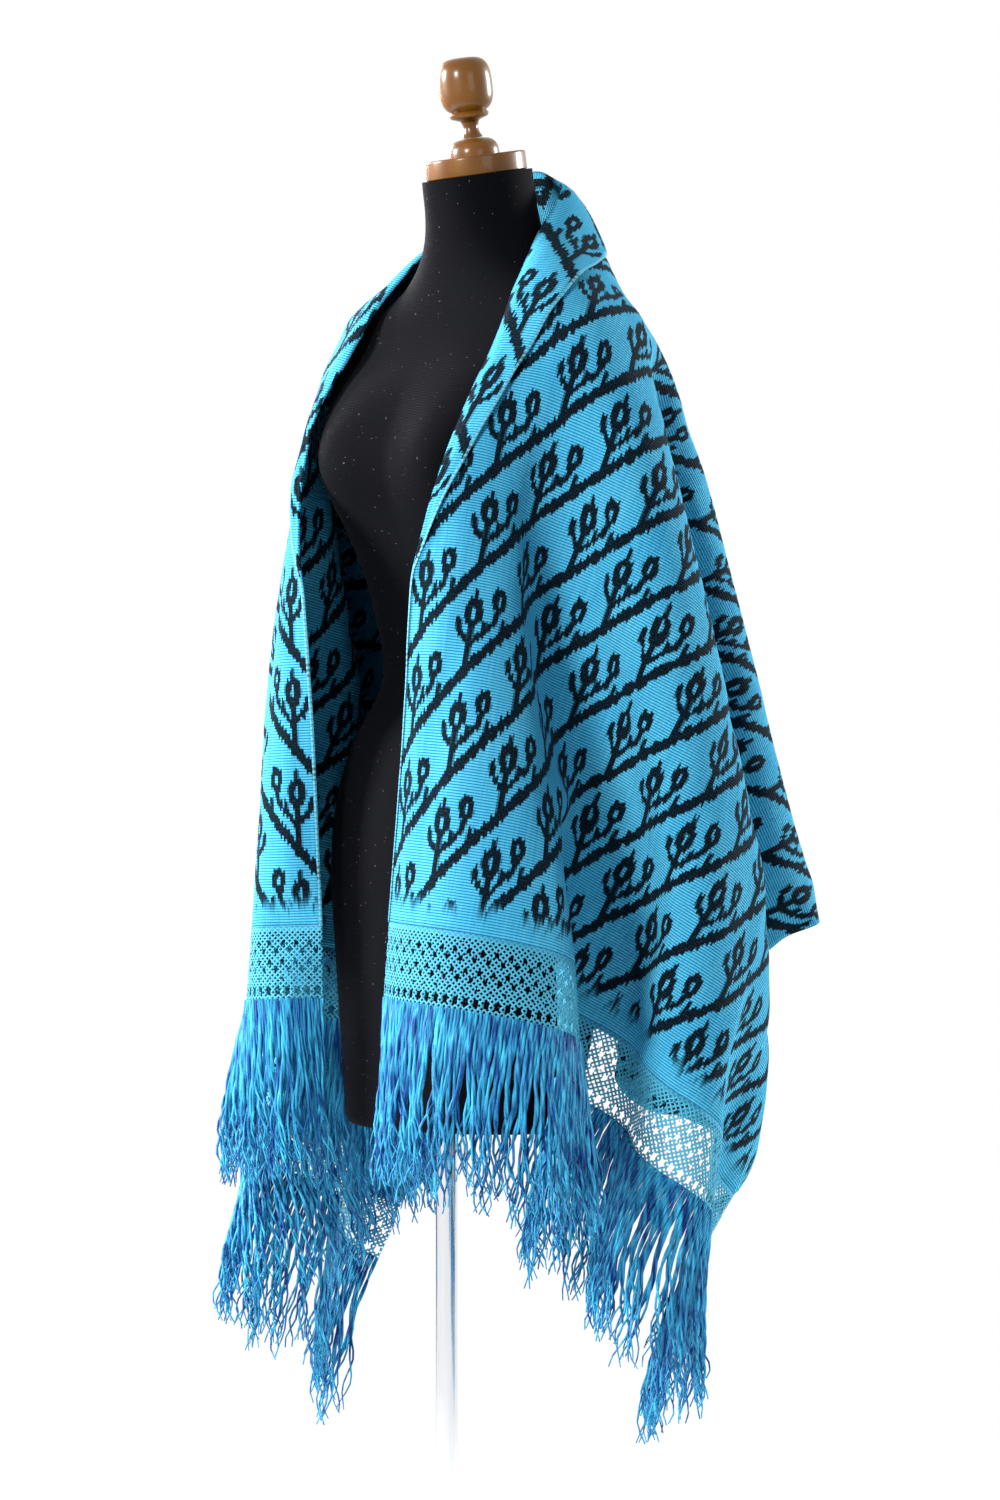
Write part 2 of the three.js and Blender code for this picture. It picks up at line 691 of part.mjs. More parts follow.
function strand(points, solid, roots, sign, row, k) {
  const corners = roots.map((n) => points[n]);
  const root = corners.reduce((sum, p) => sum.add(p), new THREE.Vector3()).divideScalar(4);
  const end = sign > 0 ? COLUMNS - 1 : 0;
  const way = clothPoint(end, row).sub(clothPoint(end - sign * 0.4, row)).normalize();
  const across = belowHem(sign, Math.min(row + PITCH, ACROSS), 0, 0).sub(belowHem(sign, Math.max(row - PITCH, 0), 0, 0));
  across.z = 0;
  const room = across.length() / 2;
  across.normalize();
  const through = new THREE.Vector3(-across.y, across.x, 0).multiplyScalar(sign);
  const half = Math.min(STRAND_WIDTH, room * 0.5) / 2;
  const wave = Math.min(STRAND_WAVE, room * 0.2) * Math.sin(k * 2.4);
  const length = FRINGE_LENGTH * (1 + 0.09 * Math.sin(k * 1.7));
  let loop = roots;
  const stations = [
    { reach: 0.45, lean: 0.9, sway: wave, thick: 1 },
    { reach: 1, lean: 0.6, sway: -wave, thick: 0.6 },
  ];
  for (const { reach, lean, sway, thick } of stations) {
    const fall = new THREE.Vector3(way.x * lean, way.y * lean, -1).normalize();
    const centre = root.clone().addScaledVector(fall, length * reach).addScaledVector(across, sway);
    const next = [];
    for (const [a, t] of [[-1, 1], [1, 1], [1, -1], [-1, -1]]) {
      next.push(points.length);
      points.push(centre.clone().addScaledVector(across, a * half * thick).addScaledVector(through, t * half * thick * 0.8));
    }
    for (let c = 0; c < 4; c += 1) {
      const d = (c + 1) % 4;
      if (sign > 0) solid.push([loop[c], loop[d], next[d]], [loop[c], next[d], next[c]]);
      else solid.push([loop[c], next[d], loop[d]], [loop[c], next[c], next[d]]);
    }
    loop = next;
  }
  if (sign > 0) solid.push([loop[0], loop[1], loop[2]], [loop[0], loop[2], loop[3]]);
  else solid.push([loop[0], loop[2], loop[1]], [loop[0], loop[3], loop[2]]);
}

for (const { side, sign } of HEMS) {
  const top = { rows: allRows, place: (row, offset) => belowHem(sign, row, SEAM, offset) };
  const foot = { rows: knotRows, place: (row, offset) => belowHem(sign, row, SEAM + ROOT_STRIP, offset) };
  const lines = sign > 0 ? [top, foot] : [foot, top];
  const strands = (points, solid, starts, count) => {
    const taken = new Set();
    const first = starts[lines.indexOf(foot)];
    for (let k = 0; k <= KNOTS; k += 1) {
      const [a, b] = [first + 2 * k, first + 2 * k + 1];
      if (b >= first + knotRows.length) continue;
      const row = (knotRows[2 * k] + knotRows[2 * k + 1]) / 2;
      taken.add(`${a} ${b}`);
      strand(points, solid, [a, b, count + b, count + a], sign, row, k);
    }
    return taken;
  };
  add(`fringe_${side}`, thicken(lines, WALL / 2, -WALL / 2, strands), FRINGE);
}

// Torso: rings of corners from the foot to the neck, whose top leans forward
function torsoRing(z, shrink, lean) {
  const s = sectionAt(z);
  const ring = [];
  for (let k = 0; k < AROUND; k += 1) {
    const angle = (2 * Math.PI * k) / AROUND;
    const x = s.half * Math.cos(angle);
    const depth = Math.sin(angle) < 0 ? s.front + bustAt(x, z) : s.back;
    const y = depth * Math.sin(angle);
    ring.push(new THREE.Vector3(x * shrink, s.mid + y * shrink, z + y * shrink * lean));
  }
  return ring;
}

function loft(rings) {
  const points = rings.flat();
  const faces = [];
  for (let r = 0; r + 1 < rings.length; r += 1) {
    for (let k = 0; k < AROUND; k += 1) {
      const a = r * AROUND + k;
      const b = r * AROUND + ((k + 1) % AROUND);
      faces.push([a, b, b + AROUND], [a, b + AROUND, a + AROUND]);
    }
  }
  const last = (rings.length - 1) * AROUND;
  for (let k = 1; k + 1 < AROUND; k += 1) faces.push([0, k + 1, k], [last, last + k, last + k + 1]);
  return meshOf(points, faces);
}

const torsoHeights = [];
for (let z = TORSO_FOOT + TORSO_STEP; z < SHOULDER_FOOT; z += TORSO_STEP) torsoHeights.push(z);
for (let z = SHOULDER_FOOT; z < NECK_TOP; z += SHOULDER_STEP) torsoHeights.push(z);
const rings = [torsoRing(TORSO_FOOT, 0.93, 0), torsoRing(TORSO_FOOT + 8, 1, 0)];
for (const z of torsoHeights) rings.push(torsoRing(z, 1, 0));
rings.push(torsoRing(NECK_TOP, 1, Math.tan(NECK_LEAN)));
add("form_body", loft(rings), JERSEY);

// Turned wood on the neck: cap with its domed disc, then the knob on its stem
function turned(profile) {
  const geometry = new THREE.LatheGeometry(profile.map(([r, h]) => new THREE.Vector2(r, h)), AROUND);
  geometry.rotateX(Math.PI / 2);
  return geometry;
}

function onNeck(mesh, lift) {
  const s = sectionAt(NECK_TOP);
  mesh.rotation.x = NECK_LEAN;
  mesh.position.set(0, s.mid - Math.sin(NECK_LEAN) * lift, NECK_TOP + Math.cos(NECK_LEAN) * lift);
}

const CAP_RADIUS = 47;
const CAP_HEIGHT = 17.5;
const DOME_RADIUS = 23.5;
const DOME_TOP = 34;
const STEM_RADIUS = 5.5;
const FLARE_RADIUS = 18.4;
const KNOB_RADIUS = 25;
const KNOB_FOOT = 57;
const KNOB_TOP = 108;
const capProfile = [
  [0, 0],
  [CAP_RADIUS - 0.8, 0],
  [CAP_RADIUS, 1],
  [CAP_RADIUS, CAP_HEIGHT - 1.5],
  [CAP_RADIUS - 1.5, CAP_HEIGHT],
  [DOME_RADIUS, CAP_HEIGHT],
];
for (let k = 1; k <= 4; k += 1) {
  const angle = (k * Math.PI) / 10;
  const rise = (DOME_TOP - CAP_HEIGHT) * Math.sin(angle) / Math.sin(0.4 * Math.PI);
  capProfile.push([DOME_RADIUS * Math.cos(angle * 0.92), CAP_HEIGHT + rise]);
}
capProfile.push([0, DOME_TOP]);
onNeck(add("neck_cap", turned(capProfile), WOOD), SEAM);

const knobProfile = [
  [0, DOME_TOP],
  [8.5, DOME_TOP],
  [STEM_RADIUS + 1, DOME_TOP + 4],
  [STEM_RADIUS, DOME_TOP + 10],
  [STEM_RADIUS + 1.5, DOME_TOP + 15],
  [FLARE_RADIUS - 6, KNOB_FOOT - 4],
  [FLARE_RADIUS, KNOB_FOOT - 1],
];
const KNOB_STEPS = 8;
for (let k = 0; k <= KNOB_STEPS; k += 1) {
  const angle = -0.38 * Math.PI + (0.76 * Math.PI * k) / KNOB_STEPS;
  const middle = (KNOB_FOOT + KNOB_TOP) / 2;
  const rise = ((KNOB_TOP - KNOB_FOOT) / 2) * Math.sin(angle) / Math.sin(0.38 * Math.PI);
  const round = Math.abs(Math.sin(angle)) ** 4;
  knobProfile.push([KNOB_RADIUS * (1 - 0.34 * round), middle + rise * 0.98]);
}
knobProfile.push([0, KNOB_TOP]);
onNeck(add("finial", turned(knobProfile), WOOD), SEAM * 2);

// Stand: a round foot and a pole up to the torso
const baseProfile = [
  [0, 0],
  [BASE_RADIUS, 0],
  [BASE_RADIUS, BASE_HEIGHT * 0.55],
  [BASE_RADIUS * 0.97, BASE_HEIGHT * 0.8],
  [BASE_RADIUS * 0.9, BASE_HEIGHT],
  [0, BASE_HEIGHT],
];
add("base", turned(baseProfile), WOOD);
const POLE_SIDES = 20;
const poleLength = TORSO_FOOT - BASE_HEIGHT - 2 * SEAM;
const pole = new THREE.CylinderGeometry(POLE_RADIUS, POLE_RADIUS, poleLength, POLE_SIDES).rotateX(Math.PI / 2);
add("pole", pole, STEEL).position.z = BASE_HEIGHT + SEAM + poleLength / 2;

export default part;
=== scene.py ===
"""Woven shawl with knotted net ends and fringe, draped over a limbless dress form.

Maths on the cloth is in millimetres, as its flat sizes are; meshes are in metres.
"""

import logging
import math
from dataclasses import dataclass, field
from enum import Enum
from typing import NamedTuple, Sequence

import bmesh
import bpy
import numpy as np
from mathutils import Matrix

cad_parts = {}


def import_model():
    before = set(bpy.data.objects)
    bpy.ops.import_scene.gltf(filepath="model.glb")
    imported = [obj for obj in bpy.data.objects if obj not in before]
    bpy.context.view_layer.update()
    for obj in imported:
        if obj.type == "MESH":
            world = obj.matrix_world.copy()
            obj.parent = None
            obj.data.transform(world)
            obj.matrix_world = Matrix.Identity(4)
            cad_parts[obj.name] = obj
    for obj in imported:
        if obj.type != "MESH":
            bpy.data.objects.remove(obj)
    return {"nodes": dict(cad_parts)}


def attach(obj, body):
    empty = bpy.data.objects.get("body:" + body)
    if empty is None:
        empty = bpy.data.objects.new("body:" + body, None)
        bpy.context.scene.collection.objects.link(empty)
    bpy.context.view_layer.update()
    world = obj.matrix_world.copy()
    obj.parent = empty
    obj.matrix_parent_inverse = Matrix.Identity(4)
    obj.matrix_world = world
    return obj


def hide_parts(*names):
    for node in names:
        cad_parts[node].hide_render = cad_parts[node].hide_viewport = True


LOG = logging.getLogger("shawl")
MM = 0.001


class TorsoRow(NamedTuple):
    """One level section of the torso: height, half width, middle, and depths to front and back."""

    z: float
    half: float
    mid: float
    front: float
    back: float


class Place(NamedTuple):
    """A point of the folded edge's route."""

    x: float
    y: float
    z: float


class FoldRow(NamedTuple):
    """Where one spot of the cloth is led to: along the warp, across it, its place and the pull."""

    u: float
    v: float
    x: float
    y: float
    z: float | None
    pull: float


class CreaseRow(NamedTuple):
    """A soft crease between two spots of the flat cloth; a negative rise is a trough."""

    u0: float
    v0: float
    u1: float
    v1: float
    width: float
    rise: float


class FlowerRow(NamedTuple):
    """A flower head of the sprig: its middle and half sizes, across and along the repeat."""

    x: float
    y: float
    half_x: float
    half_y: float


class StrokeRow(NamedTuple):
    """A straight stroke of the sprig: its two ends, across and along the repeat, and half its width."""

    x0: float
    y0: float
    x1: float
    y1: float
    half: float


class LeanRow(NamedTuple):
    """How far a lock of fringe leans with the cloth above it, by share of its length."""

    share: float
    lean: float


class LightRow(NamedTuple):
    """A square light: its place from the picture's view in metres, its side, and its power in watts."""

    name: str
    right: float
    toward: float
    up: float
    size: float
    power: float


TORSO = (
    TorsoRow(612, 125, 15, 85, 88),
    TorsoRow(700, 140, 20, 88, 98),
    TorsoRow(800, 158, 30, 98, 110),
    TorsoRow(850, 163, 33, 102, 112),
    TorsoRow(910, 158, 35, 100, 106),
    TorsoRow(965, 139, 36, 90, 92),
    TorsoRow(1023, 110, 38, 65, 72),
    TorsoRow(1090, 118, 36, 70, 76),
    TorsoRow(1150, 132, 32, 85, 86),
    TorsoRow(1210, 147, 28, 98, 98),
    TorsoRow(1250, 162, 28, 94, 116),
    TorsoRow(1290, 176, 32, 82, 122),
    TorsoRow(1330, 176, 44, 66, 110),
    TorsoRow(1360, 150, 48, 60, 86),
    TorsoRow(1385, 100, 50, 55, 66),
    TorsoRow(1410, 71, 49, 53, 57),
    TorsoRow(1440, 56, 46, 52, 53),
    TorsoRow(1490, 51, 38, 51, 51),
)

EDGE_LEFT = (
    Place(0, 112, 1498),
    Place(54, 97, 1478),
    Place(75, 46, 1428),
    Place(95, -6, 1369),
    Place(100, -40, 1325),
    Place(106, -74, 1289),
    Place(109, -100, 1255),
    Place(112, -116, 1226),
    Place(110, -124, 1190),
    Place(107, -128, 1148),
    Place(103, -132, 1068),
    Place(100, -140, 963),
    Place(96, -148, 859),
    Place(92, -154, 775),
    Place(90, -158, 700),
    Place(89, -160, 600),
)

EDGE_RIGHT = (
    Place(0, 112, 1498),
    Place(-54, 97, 1478),
    Place(-75, 46, 1428),
    Place(-94, -4, 1369),
    Place(-96, -36, 1325),
    Place(-101, -62, 1289),
    Place(-104, -86, 1255),
    Place(-105, -98, 1226),
    Place(-104, -96, 1190),
    Place(-98, -95, 1148),
    Place(-92, -92, 1068),
    Place(-90, -88, 963),
    Place(-90, -91, 859),
    Place(-92, -94, 775),
    Place(-94, -97, 700),
    Place(-96, -99, 600),
)

FOLDS_LEFT = (
    FoldRow(0, 750, 0, 262, 850, 1),
    FoldRow(120, 750, 125, 262, 858, 0.5),
    FoldRow(190, 750, 185, 238, 868, 1),
    FoldRow(340, 750, 165, 205, 800, 0.8),
    FoldRow(500, 750, 130, 190, 720, 0.8),
    FoldRow(650, 750, 95, 208, 640, 0.8),
    FoldRow(790, 750, 100, 215, 560, 1),
    FoldRow(260, 750, 150, 212, 836, 0.8),
    FoldRow(340, 600, 200, 190, 930, 0.5),
    FoldRow(790, 215, 240, -6, 748, 1),
    FoldRow(650, 215, 238, 0, None, 0.8),
    FoldRow(500, 210, 233, 0, None, 0.6),
    FoldRow(790, 320, 150, 45, 705, 0.8),
    FoldRow(650, 320, 150, 48, None, 0.8),
    FoldRow(500, 310, 170, 50, None, 0.4),
    FoldRow(790, 430, 224, 40, 650, 0.8),
    FoldRow(650, 420, 226, 45, None, 0.8),
    FoldRow(790, 575, 204, 155, 585, 1),
    FoldRow(650, 560, 206, 155, None, 0.8),
    FoldRow(790, 650, 160, 190, 572, 0.8),
    FoldRow(650, 650, 162, 190, None, 0.8),
    FoldRow(500, 540, 203, 160, None, 0.6),
)

FOLDS_RIGHT = (
    FoldRow(120, 750, -125, 262, 858, 0.5),
    FoldRow(190, 750, -185, 238, 868, 1),
    FoldRow(340, 750, -170, 195, 800, 0.8),
    FoldRow(500, 750, -160, 150, 730, 0.8),
    FoldRow(650, 750, -190, 110, 660, 0.6),
    FoldRow(790, 750, -236, 116, 600, 0.8),
    FoldRow(340, 600, -200, 190, 930, 0.5),
    FoldRow(790, 45, -106, -86, 765, 1),
    FoldRow(650, 45, -114, -88, None, 0.6),
    FoldRow(790, 130, -150, -38, 770, 1),
    FoldRow(790, 205, -200, 18, 765, 1),
    FoldRow(650, 90, -138, -66, None, 1),
    FoldRow(520, 90, -134, -60, None, 1),
    FoldRow(650, 140, -154, -28, None, 0.8),
    FoldRow(650, 205, -198, 18, None, 0.8),
    FoldRow(500, 200, -206, 8, None, 0.6),
    FoldRow(790, 320, -150, 36, 730, 0.8),
    FoldRow(650, 320, -150, 40, None, 0.8),
    FoldRow(790, 460, -242, 44, 665, 1),
    FoldRow(650, 450, -238, 48, None, 0.8),
    FoldRow(790, 620, -160, 100, 625, 0.8),
)

CREASES = (
    CreaseRow(150, 150, 420, 330, 16, 2.2),
    CreaseRow(120, 260, 330, 420, 20, -2.6),
    CreaseRow(260, 90, 560, 120, 15, 1.8),
    CreaseRow(330, 150, 780, 165, 18, -2.4),
    CreaseRow(420, 60, 790, 58, 14, -2.0),
    CreaseRow(380, 205, 640, 240, 14, 1.6),
    CreaseRow(560, 262, 800, 268, 13, 1.8),
    CreaseRow(430, 380, 790, 372, 15, -2.2),
    CreaseRow(500, 480, 790, 492, 17, 2.4),
    CreaseRow(560, 610, 800, 600, 15, -2.0),
    CreaseRow(200, 520, 420, 650, 20, 2.0),
    CreaseRow(60, 430, 150, 720, 18, -2.2),
    CreaseRow(-150, 140, -400, 300, 17, 2.2),
    CreaseRow(-130, 280, -310, 440, 20, -2.4),
    CreaseRow(-330, 120, -700, 110, 15, 1.8),
    CreaseRow(-420, 180, -790, 172, 16, -2.2),
    CreaseRow(-520, 262, -800, 255, 14, 2.0),
    CreaseRow(-440, 385, -790, 392, 16, -2.0),
    CreaseRow(-560, 540, -790, 548, 15, 2.0),
    CreaseRow(-70, 400, -170, 700, 18, 2.2),
    CreaseRow(-15, 330, 20, 730, 22, -2.4),
    CreaseRow(0, 120, 60, 300, 18, 1.8),
    CreaseRow(-210, 540, -430, 660, 19, -2.0),
)


SPRIG_FLOWERS = (
    FlowerRow(-7.0, 29.0, 7.8, 13.0),
    FlowerRow(14.0, 15.0, 6.4, 11.0),
)

SPRIG_STROKES = (
    StrokeRow(-7.0, 40.0, -7.5, 78.0, 2.9),
    StrokeRow(14.0, 25.0, 11.5, 36.0, 2.6),
    StrokeRow(11.5, 36.0, -6.0, 58.0, 2.5),
    StrokeRow(-8.0, 57.0, -18.5, 46.0, 2.6),
    StrokeRow(-18.5, 46.0, -19.5, 37.0, 2.9),
    StrokeRow(-7.0, 15.0, -7.0, 9.0, 2.0),
    StrokeRow(3.5, 46.0, 4.0, 37.0, 2.2),
    StrokeRow(19.5, 41.0, 20.5, 31.0, 2.0),
)

LOCK_LEAN = (
    LeanRow(0.0, 1.6),
    LeanRow(0.12, 1.15),
    LeanRow(0.45, 0.9),
    LeanRow(1.0, 0.6),
)

LIGHTS = (
    LightRow("key_left", -2.6, -0.4, 2.0, 0.9, 190.0),
    LightRow("rim_back_left", -1.5, -2.4, 2.3, 1.0, 95.0),
    LightRow("rim_back_right", 2.3, -1.2, 2.0, 0.8, 110.0),
    LightRow("front_left", -1.9, 2.7, 2.1, 0.8, 125.0),
    LightRow("front_fill", 1.6, 3.2, 1.8, 1.4, 14.0),
)


def smooth(low: float, high: float, value: np.ndarray) -> np.ndarray:
    """Soft step from 0 at low to 1 at high.

    Args:
        low: Where the step begins.
        high: Where it ends.
        value: The numbers to step.

    Returns:
        Numbers from 0 to 1.
    """
    t = np.clip((value - low) / (high - low), 0.0, 1.0)
    return t * t * (3.0 - 2.0 * t)


def mesh_object(name: str, points: np.ndarray, faces: Sequence[Sequence[int]]) -> bpy.types.Object:
    """Makes a mesh object at the origin and links it to the scene.

    Args:
        name: The piece's name.
        points: Corner places in metres.
        faces: Corner numbers of each face.

    Returns:
        The new object.
    """
    mesh = bpy.data.meshes.new(name)
    mesh.from_pydata(np.asarray(points).tolist(), [], [list(face) for face in faces])
    mesh.update()
    piece = bpy.data.objects.new(name, mesh)
    bpy.context.scene.collection.objects.link(piece)
    return piece


def face_outward(piece: bpy.types.Object) -> None:
    """Turns a closed mesh's faces outward."""
    work = bmesh.new()
    work.from_mesh(piece.data)
    bmesh.ops.recalc_face_normals(work, faces=work.faces)
    work.to_mesh(piece.data)
    work.free()


def shade(piece: bpy.types.Object, sharp_degrees: float = 180.0) -> None:
    """Shades a piece smooth, with edges sharper than the angle left crisp.

    Args:
        piece: The piece.
        sharp_degrees: The angle from which an edge stays crisp.
    """
    mesh = piece.data
    mesh.polygons.foreach_set("use_smooth", [True] * len(mesh.polygons))
    if sharp_degrees < 180.0:
        mesh.set_sharp_from_angle(angle=math.radians(sharp_degrees))
    mesh.update()


@dataclass
class Torso:
    """The limbless body of the dress form, by level sections with a soft bust."""

    rows: tuple[TorsoRow, ...] = TORSO
    bust_x: float = 82.0
    bust_z: float = 1222.0
    bust_out: float = 34.0
    bust_wide: float = 58.0
    bust_tall: float = 60.0
    foot: float = 612.0
    neck_top: float = 1490.0
    neck_lean: float = 0.18
    tilt_over: float = 40.0
    around: int = 144
    ring_step: float = 9.0

    def section(self, height: np.ndarray) -> tuple[np.ndarray, ...]:
        """Half width, middle, front and back at a height, smooth between the rows.

        Args:
            height: Heights in millimetres.

        Returns:
            Four arrays of the heights' shape.
        """
        table = np.array(self.rows)
        levels = table[:, 0]
        z = np.clip(height, levels[0], levels[-1])
        k = np.clip(np.searchsorted(levels, z, side="left") - 1, 0, len(levels) - 2)
        before = np.maximum(np.arange(len(levels)) - 1, 0)
        after = np.minimum(np.arange(len(levels)) + 1, len(levels) - 1)
        slopes = (table[after] - table[before]) / (levels[after] - levels[before])[:, None]
        h = levels[k + 1] - levels[k]
        t = (z - levels[k]) / h
        found = []
        for c in range(1, 5):
            start = (2 * t**3 - 3 * t**2 + 1) * table[k, c] + (t**3 - 2 * t**2 + t) * h * slopes[k, c]
            end = (3 * t**2 - 2 * t**3) * table[k + 1, c] + (t**3 - t**2) * h * slopes[k + 1, c]
            found.append(start + end)
        return tuple(found)

    def bust(self, x: np.ndarray, z: np.ndarray) -> np.ndarray:
        """How far the bust stands out at x and z."""
        across = (np.abs(x) - self.bust_x) / self.bust_wide
        up = (z - self.bust_z) / self.bust_tall
        return self.bust_out * np.exp(-across * across - up * up)

    def level(self, x: np.ndarray, y: np.ndarray, z: np.ndarray) -> np.ndarray:
        """1 on the torso's surface and more outside it."""
        half, mid, front, back = self.section(z)
        dy = y - mid
        depth = np.where(dy < 0, front + self.bust(x, z), back)
        return np.hypot(x / half, dy / depth)

    def ring(self, z: float, shrink: float, lean: float) -> np.ndarray:
        """One ring of corners in metres.

        Args:
            z: Its height in millimetres.
            shrink: Its share of the full section.
            lean: How its height changes with its depth.

        Returns:
            Corner places.
        """
        angle = np.linspace(0.0, 2.0 * math.pi, self.around, endpoint=False)
        half, mid, front, back = self.section(np.full(self.around, z))
        x = half * np.cos(angle)
        depth = np.where(np.sin(angle) < 0, front + self.bust(x, z), back)
        y = depth * np.sin(angle)
        return np.stack([x * shrink, mid + y * shrink, z + y * shrink * lean], axis=1) * MM

    def build(self) -> bpy.types.Object:
        """Builds the torso as one closed smooth body."""
        rings = [self.ring(self.foot, 0.9, 0.0), self.ring(self.foot, 0.955, 0.0)]
        rings += [self.ring(self.foot + 2.5, 0.985, 0.0), self.ring(self.foot + 8.0, 1.0, 0.0)]
        heights = np.arange(self.foot + 8.0 + self.ring_step, self.neck_top - 4.0, self.ring_step)
        for z in heights:
            tilted = float(smooth(self.neck_top - self.tilt_over, self.neck_top, np.array(z)))
            rings.append(self.ring(float(z), 1.0, tilted * math.tan(self.neck_lean)))
        rings.append(self.ring(self.neck_top, 1.0, math.tan(self.neck_lean)))
        points = np.concatenate(rings)
        faces: list[list[int]] = []
        n = self.around
        for r in range(len(rings) - 1):
            for k in range(n):
                a, b = r * n + k, r * n + (k + 1) % n
                faces.append([a, b, b + n, a + n])
        faces.append(list(range(n))[::-1])
        last = (len(rings) - 1) * n
        faces.append(list(range(last, last + n)))
        torso = mesh_object("torso_jersey", points, faces)
        shade(torso, 40.0)
        return torso


@dataclass
class Drape:
    """The cloth's flat plan and how it settles on the torso."""

    torso: Torso
    width: float = 750.0
    woven_half: float = 795.0
    net_depth: float = 68.0
    collar_width: float = 60.0
    collar_full_to: float = 120.0
    collar_ends_at: float = 500.0
    clear_of_form: float = 11.0
    woven_columns: int = 26
    net_columns: int = 2
    across: int = 24
    steps: int = 260
    passes: int = 10
    weight: float = 0.42
    keep: float = 0.96
    shear: float = 0.5
    bend: float = 0.06
    grip: float = 0.3
    lead: float = 0.1
    edge_lead: float = 0.05
    pinned: float = 220.0
    apart: float = 24.0
    most_move: float = 20.0
    turned_by: float = 340.0
    front_turn: float = 0.25
    neck_drop: float = 0.35
    side_rise: float = 0.25
    side_rise_over: float = 800.0
    route_samples: int = 800
    near_x: float = 220.0
    near_y: float = 200.0
    near_z: float = 600.0
    near_level: float = 1.25
    repel: float = 0.25
    stations: np.ndarray = field(init=False)
    flat: np.ndarray = field(init=False)
    grid: np.ndarray = field(init=False)

    def __post_init__(self) -> None:
        """Works out the flat grid and lets the cloth settle."""
        woven = self.woven_half * np.arange(self.woven_columns + 1) / self.woven_columns
        net = self.woven_half + self.net_depth * np.arange(1, self.net_columns + 1) / self.net_columns
        half = np.concatenate([woven, net])
        self.stations = np.concatenate([-half[1:][::-1], half])
        fold = self.collar(self.stations)
        share = np.arange(self.across + 1) / self.across
        v = fold[:, None] + (self.width - fold)[:, None] * share[None, :]
        u = np.repeat(self.stations[:, None], self.across + 1, axis=1)
        self.flat = np.stack([u, v], axis=2)
        self.grid = self.settle()

    def collar(self, u: np.ndarray) -> np.ndarray:
        """Width of the folded collar at each place along the warp."""
        t = np.clip((np.abs(u) - self.collar_full_to) / (self.collar_ends_at - self.collar_full_to), 0, 1)
        return self.collar_width * (1 - t**1.1)

    def edge_places(self) -> np.ndarray:
        """Places of the folded edge at each station, by length along its route."""
        found = np.zeros((len(self.stations), 3))
        for route, mask in ((EDGE_RIGHT, self.stations < 0), (EDGE_LEFT, self.stations >= 0)):
            points = np.array(route)
            t = np.arange(self.route_samples + 1) / self.route_samples
            line = self.route_point(points, t)
            lengths = np.concatenate([[0.0], np.cumsum(np.linalg.norm(np.diff(line, axis=0), axis=1))])
            wanted = np.interp(np.abs(self.stations[mask]), lengths, t)
            found[mask] = self.route_point(points, wanted)
        return found

    @staticmethod
    def route_point(points: np.ndarray, t: np.ndarray) -> np.ndarray:
        """Points of a smooth route at shares t of its rows."""
        last = len(points) - 1
        padded = np.concatenate([[2 * points[0] - points[1]], points, [2 * points[-1] - points[-2]]])
        p = t * last
        k = np.minimum(np.floor(p).astype(int), last - 1)
        w = (p - k)[:, None]
        a, b, c, d = (padded[k + n] for n in range(4))
        t0, t1 = 0.5 * (c - a), 0.5 * (d - b)
        return b + t0 * w + (-3 * b + 3 * c - 2 * t0 - t1) * w**2 + (2 * b - 2 * c + t0 + t1) * w**3

    def held_out(self, edges: np.ndarray) -> np.ndarray:
        """The cloth before it settles: held out from its edge, back at the neck, sideways in front."""
        a = np.abs(self.stations)
        side = np.where(self.stations >= 0, 1.0, -1.0)
        t = np.clip(a / self.turned_by, 0, 1)
        turn = (math.pi / 2) * (1 - t) + self.front_turn * t
        bow = np.sin(math.pi * np.clip(a / self.side_rise_over, 0, 1))
        rise = -self.neck_drop * (1 - t) + self.side_rise * bow
        way = np.stack([side * np.cos(turn), np.sin(turn), rise], axis=1)
        way /= np.linalg.norm(way, axis=1)[:, None]
        reach = self.flat[:, :, 1] - self.flat[:, :1, 1]
        return edges[:, None, :] + way[:, None, :] * reach[:, :, None]

    def links(self) -> list[tuple[np.ndarray, np.ndarray, np.ndarray, float, bool]]:
        """Links between grid points, in groups that share no point."""
        columns, rows = self.flat.shape[:2]
        number = np.arange(columns * rows).reshape(columns, rows)
        flat = self.flat.reshape(-1, 2)
        groups = []

        def add(a: np.ndarray, b: np.ndarray, strength: float, only_push: bool) -> None:
            """Adds one group of links between the points a and b."""
            a, b = a.ravel(), b.ravel()
            groups.append((a, b, np.linalg.norm(flat[a] - flat[b], axis=1), strength, only_push))

        for s in (0, 1):
            add(number[:-1][s::2], number[1:][s::2], 1.0, False)
            add(number[:, :-1][:, s::2], number[:, 1:][:, s::2], 1.0, False)
        for si in (0, 1):
            for sj in (0, 1):
                add(number[:-1, :-1][si::2, sj::2], number[1:, 1:][si::2, sj::2], self.shear, False)
                add(number[:-1, 1:][si::2, sj::2], number[1:, :-1][si::2, sj::2], self.shear, False)
        for s in (0, 1, 2, 3):
            add(number[:-2][s::4], number[2:][s::4], self.bend, True)
            add(number[:, :-2][:, s::4], number[:, 2:][:, s::4], self.bend, True)
        return groups

    def leads(self) -> list[tuple[int, FoldRow]]:
        """The grid point that each fold row leads."""
        found = []
        rows = self.flat.shape[1]
        for table, side in ((FOLDS_LEFT, 1), (FOLDS_RIGHT, -1)):
            for row in table:
                i = int(np.argmin(np.abs(self.stations - side * row.u)))
                j = int(np.argmin(np.abs(self.flat[i, :, 1] - row.v)))
                found.append((i * rows + j, row))
        return found

